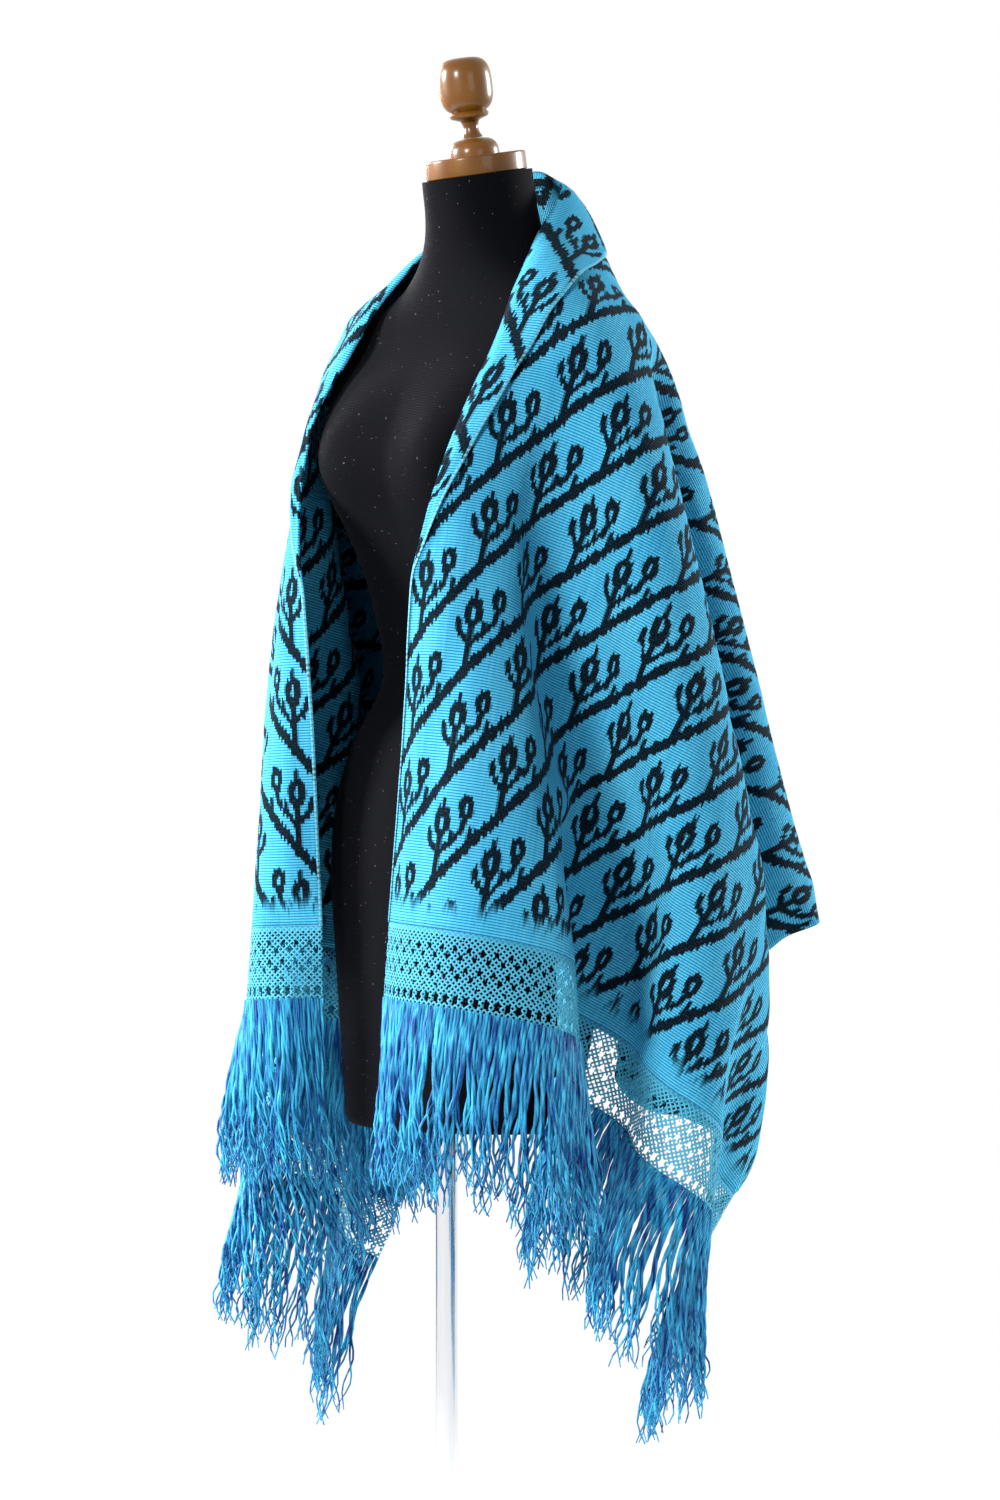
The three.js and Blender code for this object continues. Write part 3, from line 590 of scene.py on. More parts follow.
    def push_out(self, x: np.ndarray, before: np.ndarray, free: np.ndarray) -> None:
        """Pushes points out of the torso and holds them there by friction."""
        p = x[free]
        near = (np.abs(p[:, 0]) <= self.near_x) & (np.abs(p[:, 1]) <= self.near_y) & (p[:, 2] >= self.near_z)
        chosen = free[near]
        px, py, pz = x[chosen].T
        level = self.torso.level(px, py, pz)
        close = level <= self.near_level
        chosen, px, py, pz, level = chosen[close], px[close], py[close], pz[close], level[close]
        slope = np.stack(
            [
                (self.torso.level(px + 1, py, pz) - self.torso.level(px - 1, py, pz)) / 2,
                (self.torso.level(px, py + 1, pz) - self.torso.level(px, py - 1, pz)) / 2,
                (self.torso.level(px, py, pz + 1) - self.torso.level(px, py, pz - 1)) / 2,
            ],
            axis=1,
        )
        size = np.linalg.norm(slope, axis=1) + 1e-9
        gap = (level - 1) / size
        inside = gap < self.clear_of_form
        chosen, slope, size, gap = chosen[inside], slope[inside], size[inside], gap[inside]
        step = np.minimum(self.clear_of_form - gap, self.most_move) / size
        x[chosen] += slope * step[:, None]
        x[chosen] -= (x[chosen] - before[chosen]) * self.grip

    def free_links(self, held: np.ndarray) -> list[tuple[np.ndarray, ...]]:
        """Links with a free end, their strength shared between the ends that may move.

        Args:
            held: Which grid points stay where they are.

        Returns:
            For each group its ends, lengths, strengths, whether it only pushes, and each end's share.
        """
        found = []
        for a, b, rest, strength, only_push in self.links():
            ends = 2.0 - held[a] - held[b]
            use = ends > 0
            a, b, rest, ends = a[use], b[use], rest[use], ends[use]
            move_a, move_b = (~held[a])[:, None] * 1.0, (~held[b])[:, None] * 1.0
            found.append((a, b, rest, strength / ends, only_push, move_a, move_b))
        return found

    @staticmethod
    def pull_links(x: np.ndarray, groups: list[tuple[np.ndarray, ...]]) -> None:
        """Moves points once so that every link comes nearer to its length."""
        for a, b, rest, strength, only_push, move_a, move_b in groups:
            gap = x[b] - x[a]
            long = np.sqrt((gap * gap).sum(axis=1)) + 1e-9
            share = (long - rest) / long
            if only_push:
                share = np.minimum(share, 0.0)
            gap *= (share * strength)[:, None]
            x[a] += gap * move_a
            x[b] -= gap * move_b

    def lead_folds(self, x: np.ndarray, leads: list[tuple[int, FoldRow]]) -> None:
        """Draws the led points a little toward their places."""
        for point, row in leads:
            share = self.lead * row.pull
            x[point, 0] += (row.x - x[point, 0]) * share
            x[point, 1] += (row.y - x[point, 1]) * share
            if row.z is not None:
                x[point, 2] += (row.z - x[point, 2]) * share

    def close_pairs(self, x: np.ndarray, far_on_flat: np.ndarray) -> list[list[int]]:
        """Pairs of points that lie close in space though they are far apart on the flat cloth."""
        square = (x * x).sum(axis=1)
        distance = square[:, None] + square[None, :] - 2.0 * (x @ x.T)
        return np.argwhere(far_on_flat & (distance < self.apart**2)).tolist()

    def part_layers(self, x: np.ndarray, pairs: list[list[int]], held: np.ndarray) -> None:
        """Pushes close layers of the cloth apart."""
        for a, b in pairs:
            gap = x[b] - x[a]
            long = math.sqrt(float(gap @ gap)) + 1e-6
            gap = gap * (self.repel * min((long - self.apart) / long, 0.0))
            if not held[a]:
                x[a] += gap
            if not held[b]:
                x[b] -= gap

    def settle(self) -> np.ndarray:
        """Lets the cloth hang on the torso, its threads at full length and its folds led.

        Returns:
            Grid of places in millimetres.
        """
        edges = self.edge_places()
        columns, rows = self.flat.shape[:2]
        x = self.held_out(edges).reshape(-1, 3)
        before = x.copy()
        held = np.zeros((columns, rows), bool)
        held[np.abs(self.stations) <= self.pinned, 0] = True
        edge_share = np.where(held[:, :1], 1.0, np.array([[1.0, 1.0, 0.5]]) * self.edge_lead)
        edge_points = np.arange(columns) * rows
        held = held.ravel()
        free = np.nonzero(~held)[0]
        groups = self.free_links(held)
        leads = self.leads()
        flat = self.flat.reshape(-1, 2)
        far_on_flat = np.linalg.norm(flat[:, None, :] - flat[None, :, :], axis=2) > self.apart * 1.6
        far_on_flat = np.triu(far_on_flat, 1)
        pairs: list[list[int]] = []
        for step in range(self.steps):
            last = x.copy()
            move = (x - before) * self.keep
            size = np.maximum(np.linalg.norm(move, axis=1), 1e-9)
            x = x + move * np.minimum(1.0, self.most_move / size)[:, None]
            x[free, 2] -= self.weight
            before = last
            x[edge_points] += (edges - x[edge_points]) * edge_share
            self.lead_folds(x, leads)
            if step % 2 == 0:
                pairs = self.close_pairs(x, far_on_flat)
            for number in range(self.passes):
                self.pull_links(x, groups)
                if number % 3 == 2:
                    self.push_out(x, before, free)
                    self.part_layers(x, pairs, held)
        return x.reshape(columns, rows, 3)


@dataclass
class ClothSurface:
    """The smooth surface through the settled grid, with its fine creases."""

    drape: Drape
    crease_depth: float = 1.5
    crease_bow: float = 9.0
    padded: np.ndarray = field(init=False)

    def __post_init__(self) -> None:
        """Extends the grid by one line on every side, so that its splines reach the edges."""
        grid = self.drape.grid
        tall = np.concatenate([2 * grid[:1] - grid[1:2], grid, 2 * grid[-1:] - grid[-2:-1]])
        left = 2 * tall[:, :1] - tall[:, 1:2]
        right = 2 * tall[:, -1:] - tall[:, -2:-1]
        self.padded = np.concatenate([left, tall, right], axis=1)

    @staticmethod
    def weights(t: np.ndarray) -> tuple[np.ndarray, ...]:
        """Spline weights of the four lines round a share t."""
        t2, t3 = t * t, t**3
        return (
            0.5 * (-t + 2 * t2 - t3),
            0.5 * (2 - 5 * t2 + 3 * t3),
            0.5 * (t + 4 * t2 - 3 * t3),
            0.5 * (-t2 + t3),
        )

    def base(self, column: np.ndarray, row: np.ndarray) -> np.ndarray:
        """Places on the plain surface, in millimetres.

        Args:
            column: Station numbers, with fractions.
            row: Row numbers, with fractions.

        Returns:
            Places, with x, y and z last.
        """
        columns, rows = self.drape.grid.shape[:2]
        i = np.clip(np.floor(column).astype(int), 0, columns - 2)
        j = np.clip(np.floor(row).astype(int), 0, rows - 2)
        along = self.weights(column - i)
        down = self.weights(row - j)
        place = np.zeros(column.shape + (3,))
        for a in range(4):
            for b in range(4):
                place += self.padded[i + a, j + b] * (along[a] * down[b])[..., None]
        return place

    def normal(self, column: np.ndarray, row: np.ndarray) -> np.ndarray:
        """Directions away from the wearer on the plain surface."""
        e = 0.02
        columns, rows = self.drape.grid.shape[:2]
        after = self.base(np.minimum(column + e, columns - 1), row)
        before = self.base(np.maximum(column - e, 0), row)
        below = self.base(column, np.minimum(row + e, rows - 1))
        above = self.base(column, np.maximum(row - e, 0))
        found = np.cross(after - before, below - above)
        return found / (np.linalg.norm(found, axis=-1, keepdims=True) + 1e-12)

    def column_of(self, u: np.ndarray) -> np.ndarray:
        """Station numbers of places along the warp."""
        stations = self.drape.stations
        return np.interp(u, stations, np.arange(len(stations)))

    def row_of(self, u: np.ndarray, v: np.ndarray) -> np.ndarray:
        """Row numbers of places across the cloth."""
        fold = self.drape.collar(u)
        return (v - fold) / (self.drape.width - fold) * self.drape.across

    def crease(self, u: np.ndarray, v: np.ndarray) -> np.ndarray:
        """Height of the fine creases at flat places."""
        height = np.zeros(u.shape)
        for row in CREASES:
            du, dv = row.u1 - row.u0, row.v1 - row.v0
            length = math.hypot(du, dv)
            along = ((u - row.u0) * du + (v - row.v0) * dv) / length**2
            bow = self.crease_bow * np.sin(along * 5.0 + row.width)
            off = ((u - row.u0) * dv - (v - row.v0) * du) / length + bow
            ends = smooth(-0.15, 0.3, along) * (1 - smooth(0.7, 1.15, along))
            height += self.crease_depth * row.rise * ends * np.exp(-((off / row.width) ** 2))
        return height

    def place(self, u: np.ndarray, v: np.ndarray, lift: np.ndarray | float = 0.0) -> np.ndarray:
        """Places of the dressed cloth in millimetres.

        Args:
            u: Places along the warp.
            v: Places across the cloth, from its folded edge.
            lift: Height off the surface.

        Returns:
            Places, with x, y and z last.
        """
        column = self.column_of(u)
        row = self.row_of(u, v)
        height = self.crease(u, v) + lift
        return self.base(column, row) + self.normal(column, row) * height[..., None]


def shell(
    name: str, places: np.ndarray, flat: np.ndarray, thickness: float, keep: np.ndarray | None = None
) -> bpy.types.Object:
    """Makes a thin closed sheet from a grid of places.

    Args:
        name: The piece's name.
        places: Grid of places in millimetres.
        flat: Grid of flat places in millimetres, kept in the sheet's own map.
        thickness: The sheet's thickness in millimetres.
        keep: Which quads to build; all of them if left out.

    Returns:
        The new piece.
    """
    n, m = places.shape[:2]
    along = np.gradient(places, axis=0)
    down = np.gradient(places, axis=1)
    out = np.cross(down, along)
    out /= np.linalg.norm(out, axis=-1, keepdims=True) + 1e-12
    layers = [places + out * thickness / 2, places - out * thickness / 2]
    points = np.concatenate([layer.reshape(-1, 3) for layer in layers]) * MM
    keep = np.ones((n - 1, m - 1), bool) if keep is None else keep
    i, j = np.nonzero(keep)
    a, b, c, d = i * m + j, i * m + j + 1, (i + 1) * m + j + 1, (i + 1) * m + j
    quads = np.stack([a, b, c, d], axis=1)
    count = n * m
    # An edge met again from the other side lies inside the sheet, so the rim is what is left
    rim: dict[tuple[int, int], None] = {}
    for quad in quads.tolist():
        for k in range(4):
            edge = (quad[k], quad[(k + 1) % 4])
            if edge[::-1] in rim:
                del rim[edge[::-1]]
            else:
                rim[edge] = None
    rims = [[p, p + count, q + count, q] for p, q in rim]
    faces = quads.tolist() + (quads[:, ::-1] + count).tolist() + rims
    used = np.unique(np.concatenate([np.ravel(quads), np.ravel(quads) + count]))
    renumber = np.full(2 * count, -1)
    renumber[used] = np.arange(len(used))
    faces = [[int(renumber[p]) for p in face] for face in faces]
    piece = mesh_object(name, points[used], faces)
    table = np.concatenate([flat.reshape(-1, 2)] * 2)[used] * MM
    corner = np.zeros(len(piece.data.loops), np.int32)
    piece.data.loops.foreach_get("vertex_index", corner)
    layer = piece.data.uv_layers.new(name="flat")
    layer.uv.foreach_set("vector", table[corner].astype(np.float32).ravel())
    shade(piece)
    return piece


class Value:
    """One number in a shader, so that sums read as Python expressions."""

    def __init__(self, painter: "Painter", socket: bpy.types.NodeSocket) -> None:
        """Wraps a node's output."""
        self.painter = painter
        self.socket = socket

    def __add__(self, other: "Value | float") -> "Value":
        """self + other."""
        return self.painter.maths("ADD", self, other)

    def __sub__(self, other: "Value | float") -> "Value":
        """self - other."""
        return self.painter.maths("SUBTRACT", self, other)

    def __rsub__(self, other: "Value | float") -> "Value":
        """other - self."""
        return self.painter.maths("SUBTRACT", other, self)

    def __mul__(self, other: "Value | float") -> "Value":
        """self * other."""
        return self.painter.maths("MULTIPLY", self, other)

    def __truediv__(self, other: "Value | float") -> "Value":
        """self / other."""
        return self.painter.maths("DIVIDE", self, other)

    __radd__ = __add__
    __rmul__ = __mul__

    def floor(self) -> "Value":
        """The whole number below."""
        return self.painter.maths("FLOOR", self)

    def size(self) -> "Value":
        """The number without its sign."""
        return self.painter.maths("ABSOLUTE", self)

    def wrap(self, low: float, high: float) -> "Value":
        """The number brought back into a repeating range."""
        return self.painter.maths("WRAP", self, high, low)

    def least(self, other: "Value | float") -> "Value":
        """The smaller of two numbers."""
        return self.painter.maths("MINIMUM", self, other)

    def most(self, other: "Value | float") -> "Value":
        """The larger of two numbers."""
        return self.painter.maths("MAXIMUM", self, other)

    def sine(self) -> "Value":
        """The sine of the number."""
        return self.painter.maths("SINE", self)

    def step(self, low: float, high: float) -> "Value":
        """A soft step from 0 at low to 1 at high; it falls where low is more than high."""
        ends = {"From Min": low, "From Max": high}
        settings = {"interpolation_type": "SMOOTHSTEP", "clamp": True}
        node = self.painter.node("ShaderNodeMapRange", {"Value": self, **ends}, **settings)
        return Value(self.painter, node.outputs["Result"])


class Painter:
    """Builds the nodes of one material."""

    def __init__(self, name: str) -> None:
        """Starts an empty material."""
        self.material = bpy.data.materials.new(name)
        self.material.use_nodes = True
        self.tree = self.material.node_tree
        self.tree.nodes.clear()

    def node(
        self, kind: str, values: dict[str | int, object] | None = None, **settings: object
    ) -> bpy.types.Node:
        """Adds a node.

        Args:
            kind: The node's type.
            values: Numbers, colours or links for its sockets.
            settings: Its properties, set first.

        Returns:
            The node.
        """
        made = self.tree.nodes.new(kind)
        for name, setting in settings.items():
            setattr(made, name, setting)
        for name, value in (values or {}).items():
            socket = made.inputs[name]
            if isinstance(value, Value):
                self.tree.links.new(value.socket, socket)
            elif isinstance(value, bpy.types.NodeSocket):
                self.tree.links.new(value, socket)
            else:
                socket.default_value = value
        return made

    def maths(self, operation: str, *terms: "Value | float") -> Value:
        """One sum on numbers."""
        made = self.node("ShaderNodeMath", dict(enumerate(terms)), operation=operation)
        return Value(self, made.outputs[0])

    def mix(self, share: Value | float, low: object, high: object) -> bpy.types.NodeSocket:
        """A colour between two colours."""
        return self.node("ShaderNodeMix", {0: share, 6: low, 7: high}, data_type="RGBA").outputs[2]

    def flat_map(self) -> tuple[Value, Value]:
        """The cloth's own flat places, in millimetres along and across."""
        uv = self.node("ShaderNodeUVMap", uv_map="flat").outputs["UV"]
        parts = self.node("ShaderNodeSeparateXYZ", {0: uv})
        return Value(self, parts.outputs[0]) * 1000.0, Value(self, parts.outputs[1]) * 1000.0

    def point(self, x: Value | float, y: Value | float, z: Value | float = 0.0) -> bpy.types.NodeSocket:
        """A place made of three numbers."""
        return self.node("ShaderNodeCombineXYZ", {0: x, 1: y, 2: z}).outputs[0]

    def place(self) -> bpy.types.NodeSocket:
        """The piece's own places in metres."""
        return self.node("ShaderNodeTexCoord").outputs["Object"]

    def noise(self, where: bpy.types.NodeSocket, scale: float, detail: float = 2.0) -> Value:
        """Soft noise from 0 to 1."""
        made = self.node("ShaderNodeTexNoise", {"Vector": where, "Scale": scale, "Detail": detail})
        return Value(self, made.outputs[0])

    def chance(self, number: Value) -> Value:
        """A fixed chance number for each whole number."""
        made = self.node("ShaderNodeTexWhiteNoise", {"W": number}, noise_dimensions="1D")
        return Value(self, made.outputs["Value"])

    def bump(self, height: Value, strength: float, distance: float) -> bpy.types.NodeSocket:
        """A surface direction from a height."""
        values = {"Height": height, "Strength": strength, "Distance": distance}
        return self.node("ShaderNodeBump", values).outputs[0]

    def finish(self, **values: object) -> bpy.types.Material:
        """Ends the material in one surface shader, its sockets named with underscores for spaces."""
        named = {name.replace("_", " "): value for name, value in values.items()}
        surface = self.node("ShaderNodeBsdfPrincipled", named)
        end = self.node("ShaderNodeOutputMaterial")
        self.tree.links.new(surface.outputs[0], end.inputs[0])
        return self.material


Colour = tuple[float, float, float, float]


@dataclass(frozen=True)
class SprigCloth:
    """Turquoise ribbed cloth with dark tie-dyed sprigs, the same on both faces, its rib furrows painted
    darker as painted shade.
    """

    light: Colour = (0.155, 0.62, 0.735, 1.0)
    deep: Colour = (0.020, 0.37, 0.62, 1.0)
    # Painted shade: the dark blue laid into the rib furrows.
    groove_shade: Colour = (0.003, 0.12, 0.34, 1.0)
    dark: Colour = (0.0018, 0.003, 0.006, 1.0)
    edge: Colour = (0.22, 0.60, 0.70, 1.0)
    repeat_u: float = 92.0
    repeat_v: float = 50.0
    climb: float = 63.0
    thread: float = 1.7
    rib: float = 2.5
    thread_slip: float = 5.2
    slow_slip: float = 7.0
    stem_at: float = 72.0
    stem_inner: float = 6.2
    stem_outer: float = 8.2
    blur: float = 0.8
    dyed_to: float = 766.0
    plain_from: float = 784.0
    yarn_pitch: float = 1.15
    selvedge_inner: float = 1.6
    selvedge_outer: float = 2.8
    selvedge_twist: float = 5.0

    def stroke(self, x: Value, y: Value, row: StrokeRow) -> Value:
        """A straight stroke with round ends.

        Args:
            x: Place across the repeat.
            y: Place along the repeat.
            row: The stroke's ends and width.

        Returns:
            1 on the stroke.
        """
        dx, dy = row.x1 - row.x0, row.y1 - row.y0
        px, py = x - row.x0, y - row.y0
        t = ((px * dx + py * dy) / (dx * dx + dy * dy)).most(0.0).least(1.0)
        qx, qy = px - t * dx, py - t * dy
        return (qx * qx + qy * qy).step((row.half + self.blur) ** 2, (row.half - self.blur) ** 2)

    @staticmethod
    def flower(x: Value, y: Value, row: FlowerRow) -> Value:
        """A flower head: an oval with a light slit."""
        px, py = (x - row.x) / row.half_x, (y - row.y) / row.half_y
        distance = px * px + py * py
        slit = (px * px * 4.6 + py * py * 1.1).step(0.1, 0.28)
        return distance.step(1.4, 1.05) * slit

    def sprigs(self, painter: Painter, u: Value, v: Value) -> Value:
        """1 on the dark dye, with edges that step from thread to thread.

        Args:
            painter: The material's painter.
            u: Place along the warp in millimetres.
            v: Place across it.

        Returns:
            The dye's share.
        """
        thread = (v / self.thread).floor()
        stepped = (thread + 0.5) * self.thread
        slow = painter.noise(painter.point(u * 0.03, thread * 0.4), 1.0, 2.0)
        slip = (painter.chance(thread) - 0.5) * self.thread_slip + (slow - 0.5) * self.slow_slip
        cell = (stepped / self.repeat_v).floor()
        x = stepped - cell * self.repeat_v - self.repeat_v / 2
        y = (u.size() + slip + cell * self.climb).wrap(0.0, self.repeat_u)
        rise = self.climb / self.repeat_v
        half_u = self.repeat_u / 2
        stem_off = (y + x * rise - self.stem_at + half_u).wrap(0.0, self.repeat_u) - half_u
        dye = stem_off.size().step(self.stem_outer, self.stem_inner)
        for flower in SPRIG_FLOWERS:
            dye = dye.most(self.flower(x, y, flower))
        for stroke in SPRIG_STROKES:
            dye = dye.most(self.stroke(x, y, stroke))
        return dye * (u.size() + slip * 1.8).step(self.plain_from, self.dyed_to)

    def make(self) -> bpy.types.Material:
        """Builds the material."""
        painter = Painter("sprig_cloth")
        u, v = painter.flat_map()
        dye = self.sprigs(painter, u, v)
        streak = painter.noise(painter.point(u * 0.012, v * 0.55), 1.0, 3.0)
        cloudy = painter.noise(painter.point(u, v), 0.012, 2.0)
        fine = painter.noise(painter.point(u * 0.5, v * 1.1), 1.0, 1.0)
        shade_share = (streak * 0.8 + cloudy * 0.6 - 0.25).most(0.0).least(1.0)
        ground = painter.mix(shade_share, self.light, self.deep)
        # Painted shade: the rib furrows are mixed toward the dark groove colour, more so where the streaks
        # are strong.
        rib = (u * (2 * math.pi / self.rib)).sine()
        furrow_shade = rib.step(0.1, -0.95)
        ribbed = painter.mix(furrow_shade * (0.72 + streak * 0.4), ground, self.groove_shade)
        body = painter.mix(dye * (0.84 + fine * 0.3).least(1.0), ribbed, self.dark)
        twist = (u * (2 * math.pi / self.selvedge_twist)).sine() * 0.35 + 0.65
        selvedge = v.size().step(self.selvedge_outer, self.selvedge_inner) * twist
        colour = painter.mix(selvedge, body, self.edge)
        threads = (v * (2 * math.pi / self.yarn_pitch) + rib * 0.8).sine()
        height = rib * 0.5 + threads * 0.22 + fine * 0.9
        normal = painter.bump(height, 0.75, 0.0007)
        rough = 0.72 + fine * 0.16
        return painter.finish(Base_Color=colour, Roughness=rough, Normal=normal, Specular_IOR_Level=0.04,
                              Sheen_Weight=0.03, Sheen_Roughness=0.45, Sheen_Tint=(0.5, 0.85, 1.0, 1.0))


@dataclass(frozen=True)
class KnottedNet:
    """Knotted net of fine cord, with rows of larger gaps, its cords painted darker toward their edges as
    painted shade.
    """

    starts_at: float
    light: Colour = (0.12, 0.56, 0.72, 1.0)
    # The deep colour gives random tone in the cord, and painted shade at the cord edges and round the holes.
    deep: Colour = (0.0, 0.14, 0.34, 1.0)
    mesh: float = 5.2
    gap_pitch: float = 12.5

    def make(self) -> bpy.types.Material:
        """Builds the material."""
        painter = Painter("knotted_net")
        u, v = painter.flat_map()
        down = u.size() - self.starts_at
        one = ((down + v) / self.mesh).wrap(-0.5, 0.5).size()
        two = ((down - v) / self.mesh).wrap(-0.5, 0.5).size()
        cords = one.step(0.26, 0.14).most(two.step(0.26, 0.14))
        knots = (one + two).step(0.34, 0.2)
        zig = (v / self.gap_pitch).wrap(-0.5, 0.5).size() * 2.0
        band = (down - 14.0 - zig * 9.0).wrap(-8.5, 8.5).size()
        near = (v / self.gap_pitch * 2.0).wrap(-0.5, 0.5).size()
        within = down.step(6.0, 8.0) * down.step(50.0, 47.0)
        large = band.step(3.2, 2.2) * near.step(0.36, 0.28) * within
        holes = (1.0 - cords.most(knots)) * down.step(2.0, 5.0)
        solid = (1.0 - holes * 0.85) * (1.0 - large)
        fuzz = painter.noise(painter.point(u, v), 0.9, 2.0)
        ground = painter.mix(fuzz * 0.5 + 0.5, self.deep, self.light)
        # Painted shade: the cords darken toward the deep colour at their edges, round the holes.
        shaded_cords = painter.mix(cords.most(knots) * 0.6 + 0.4, self.deep, ground)
        height = cords * 0.7 + knots * 0.6 + fuzz * 0.3
        normal = painter.bump(height, 0.9, 0.0011)
        alpha = (solid - 0.32).step(0.0, 0.2)
        return painter.finish(Base_Color=shaded_cords, Roughness=0.7 + fuzz * 0.15, Normal=normal, Alpha=alpha,
                              Specular_IOR_Level=0.15)


@dataclass(frozen=True)
class FringeYarn:
    """Silky loose yarn in shades of blue, a little lighter here and there."""

    light: Colour = (0.06, 0.56, 0.80, 1.0)
    deep: Colour = (0.0, 0.045, 0.22, 1.0)

    def make(self) -> bpy.types.Material:
        """Builds the material."""
        painter = Painter("fringe_yarn")
        place = painter.place()
        parts = painter.node("ShaderNodeSeparateXYZ", {0: place})
        x, y, z = (Value(painter, parts.outputs[k]) for k in range(3))
        strand = painter.noise(painter.point(x * 220.0, y * 220.0, z * 16.0), 1.0, 2.0)
        ply = ((x + y) * 2600.0 + z * 1900.0).sine()
        colour = painter.mix((strand * 2.4 - 0.85).most(0.0).least(1.0), self.deep, self.light)
        normal = painter.bump(ply * 0.5 + strand, 0.5, 0.0005)
        return painter.finish(Base_Color=colour, Roughness=0.38 + strand * 0.2, Normal=normal,
                              Specular_IOR_Level=0.22)


@dataclass(frozen=True)
class BlackJersey:
    """Black brushed jersey with a soft nap and a little lint."""

    base: Colour = (0.0006, 0.0006, 0.0012, 1.0)
    worn: Colour = (0.0020, 0.0022, 0.0040, 1.0)
    lint: Colour = (0.16, 0.16, 0.18, 1.0)

    def make(self) -> bpy.types.Material:
        """Builds the material."""
        painter = Painter("black_jersey")
        place = painter.place()
        nap = painter.noise(place, 900.0, 3.0)
        patch = painter.noise(place, 9.0, 3.0)
        speck = painter.noise(place, 420.0, 0.0).step(0.82, 0.86)
        cloth = painter.mix(patch * 0.6 + nap * 0.4, self.base, self.worn)
        colour = painter.mix(speck * 0.5, cloth, self.lint)
        parts = painter.node("ShaderNodeSeparateXYZ", {0: place})
        rows = (Value(painter, parts.outputs[2]) * (2 * math.pi / 0.0016)).sine()
        normal = painter.bump(nap + rows * 0.25, 0.35, 0.0005)
        return painter.finish(Base_Color=colour, Roughness=0.8 + nap * 0.12, Normal=normal,
                              Specular_IOR_Level=0.05, Sheen_Weight=0.012, Sheen_Roughness=0.35,
                              Sheen_Tint=(0.75, 0.8, 0.95, 1.0))


@dataclass(frozen=True)
class VarnishedWood:
    """Turned wood with fine grain under gloss varnish."""

    name: str
    light: Colour
    dark: Colour
    gloss: float = 0.16

    def make(self) -> bpy.types.Material:
        """Builds the material."""
        painter = Painter(self.name)
        place = painter.place()
        parts = painter.node("ShaderNodeSeparateXYZ", {0: place})
        x, y, z = (Value(painter, parts.outputs[k]) for k in range(3))
        warp = painter.noise(place, 11.0, 2.0)
        rings = (x * 190.0 + z * 18.0 + warp * 9.0).sine() * 0.5 + 0.5
        pores = painter.noise(painter.point(x * 900.0, y * 900.0, z * 60.0), 1.0, 2.0)
        grain = (rings * 0.55 + pores * 0.6 - 0.1).most(0.0).least(1.0)
        colour = painter.mix(grain, self.light, self.dark)
        normal = painter.bump(pores, 0.12, 0.0003)
        return painter.finish(Base_Color=colour, Roughness=0.34 + pores * 0.12, Normal=normal,
                              Specular_IOR_Level=0.15, Coat_Weight=0.4, Coat_Roughness=self.gloss)


@dataclass(frozen=True)
class PolishedSteel:
    """Bright polished tube with faint lengthwise drawing marks."""

    light: Colour = (0.86, 0.87, 0.89, 1.0)
    worn: Colour = (0.72, 0.73, 0.76, 1.0)

    def make(self) -> bpy.types.Material:
        """Builds the material."""
        painter = Painter("polished_steel")
        place = painter.place()
        parts = painter.node("ShaderNodeSeparateXYZ", {0: place})
        x, y, z = (Value(painter, parts.outputs[k]) for k in range(3))
        marks = painter.noise(painter.point(x * 1800.0, y * 1800.0, z * 14.0), 1.0, 2.0)
        colour = painter.mix(marks, self.worn, self.light)
        return painter.finish(Base_Color=colour, Roughness=0.13 + marks * 0.12, Metallic=1.0)


class Side(Enum):
    """The wearer's two sides."""

    LEFT = 1
    RIGHT = -1


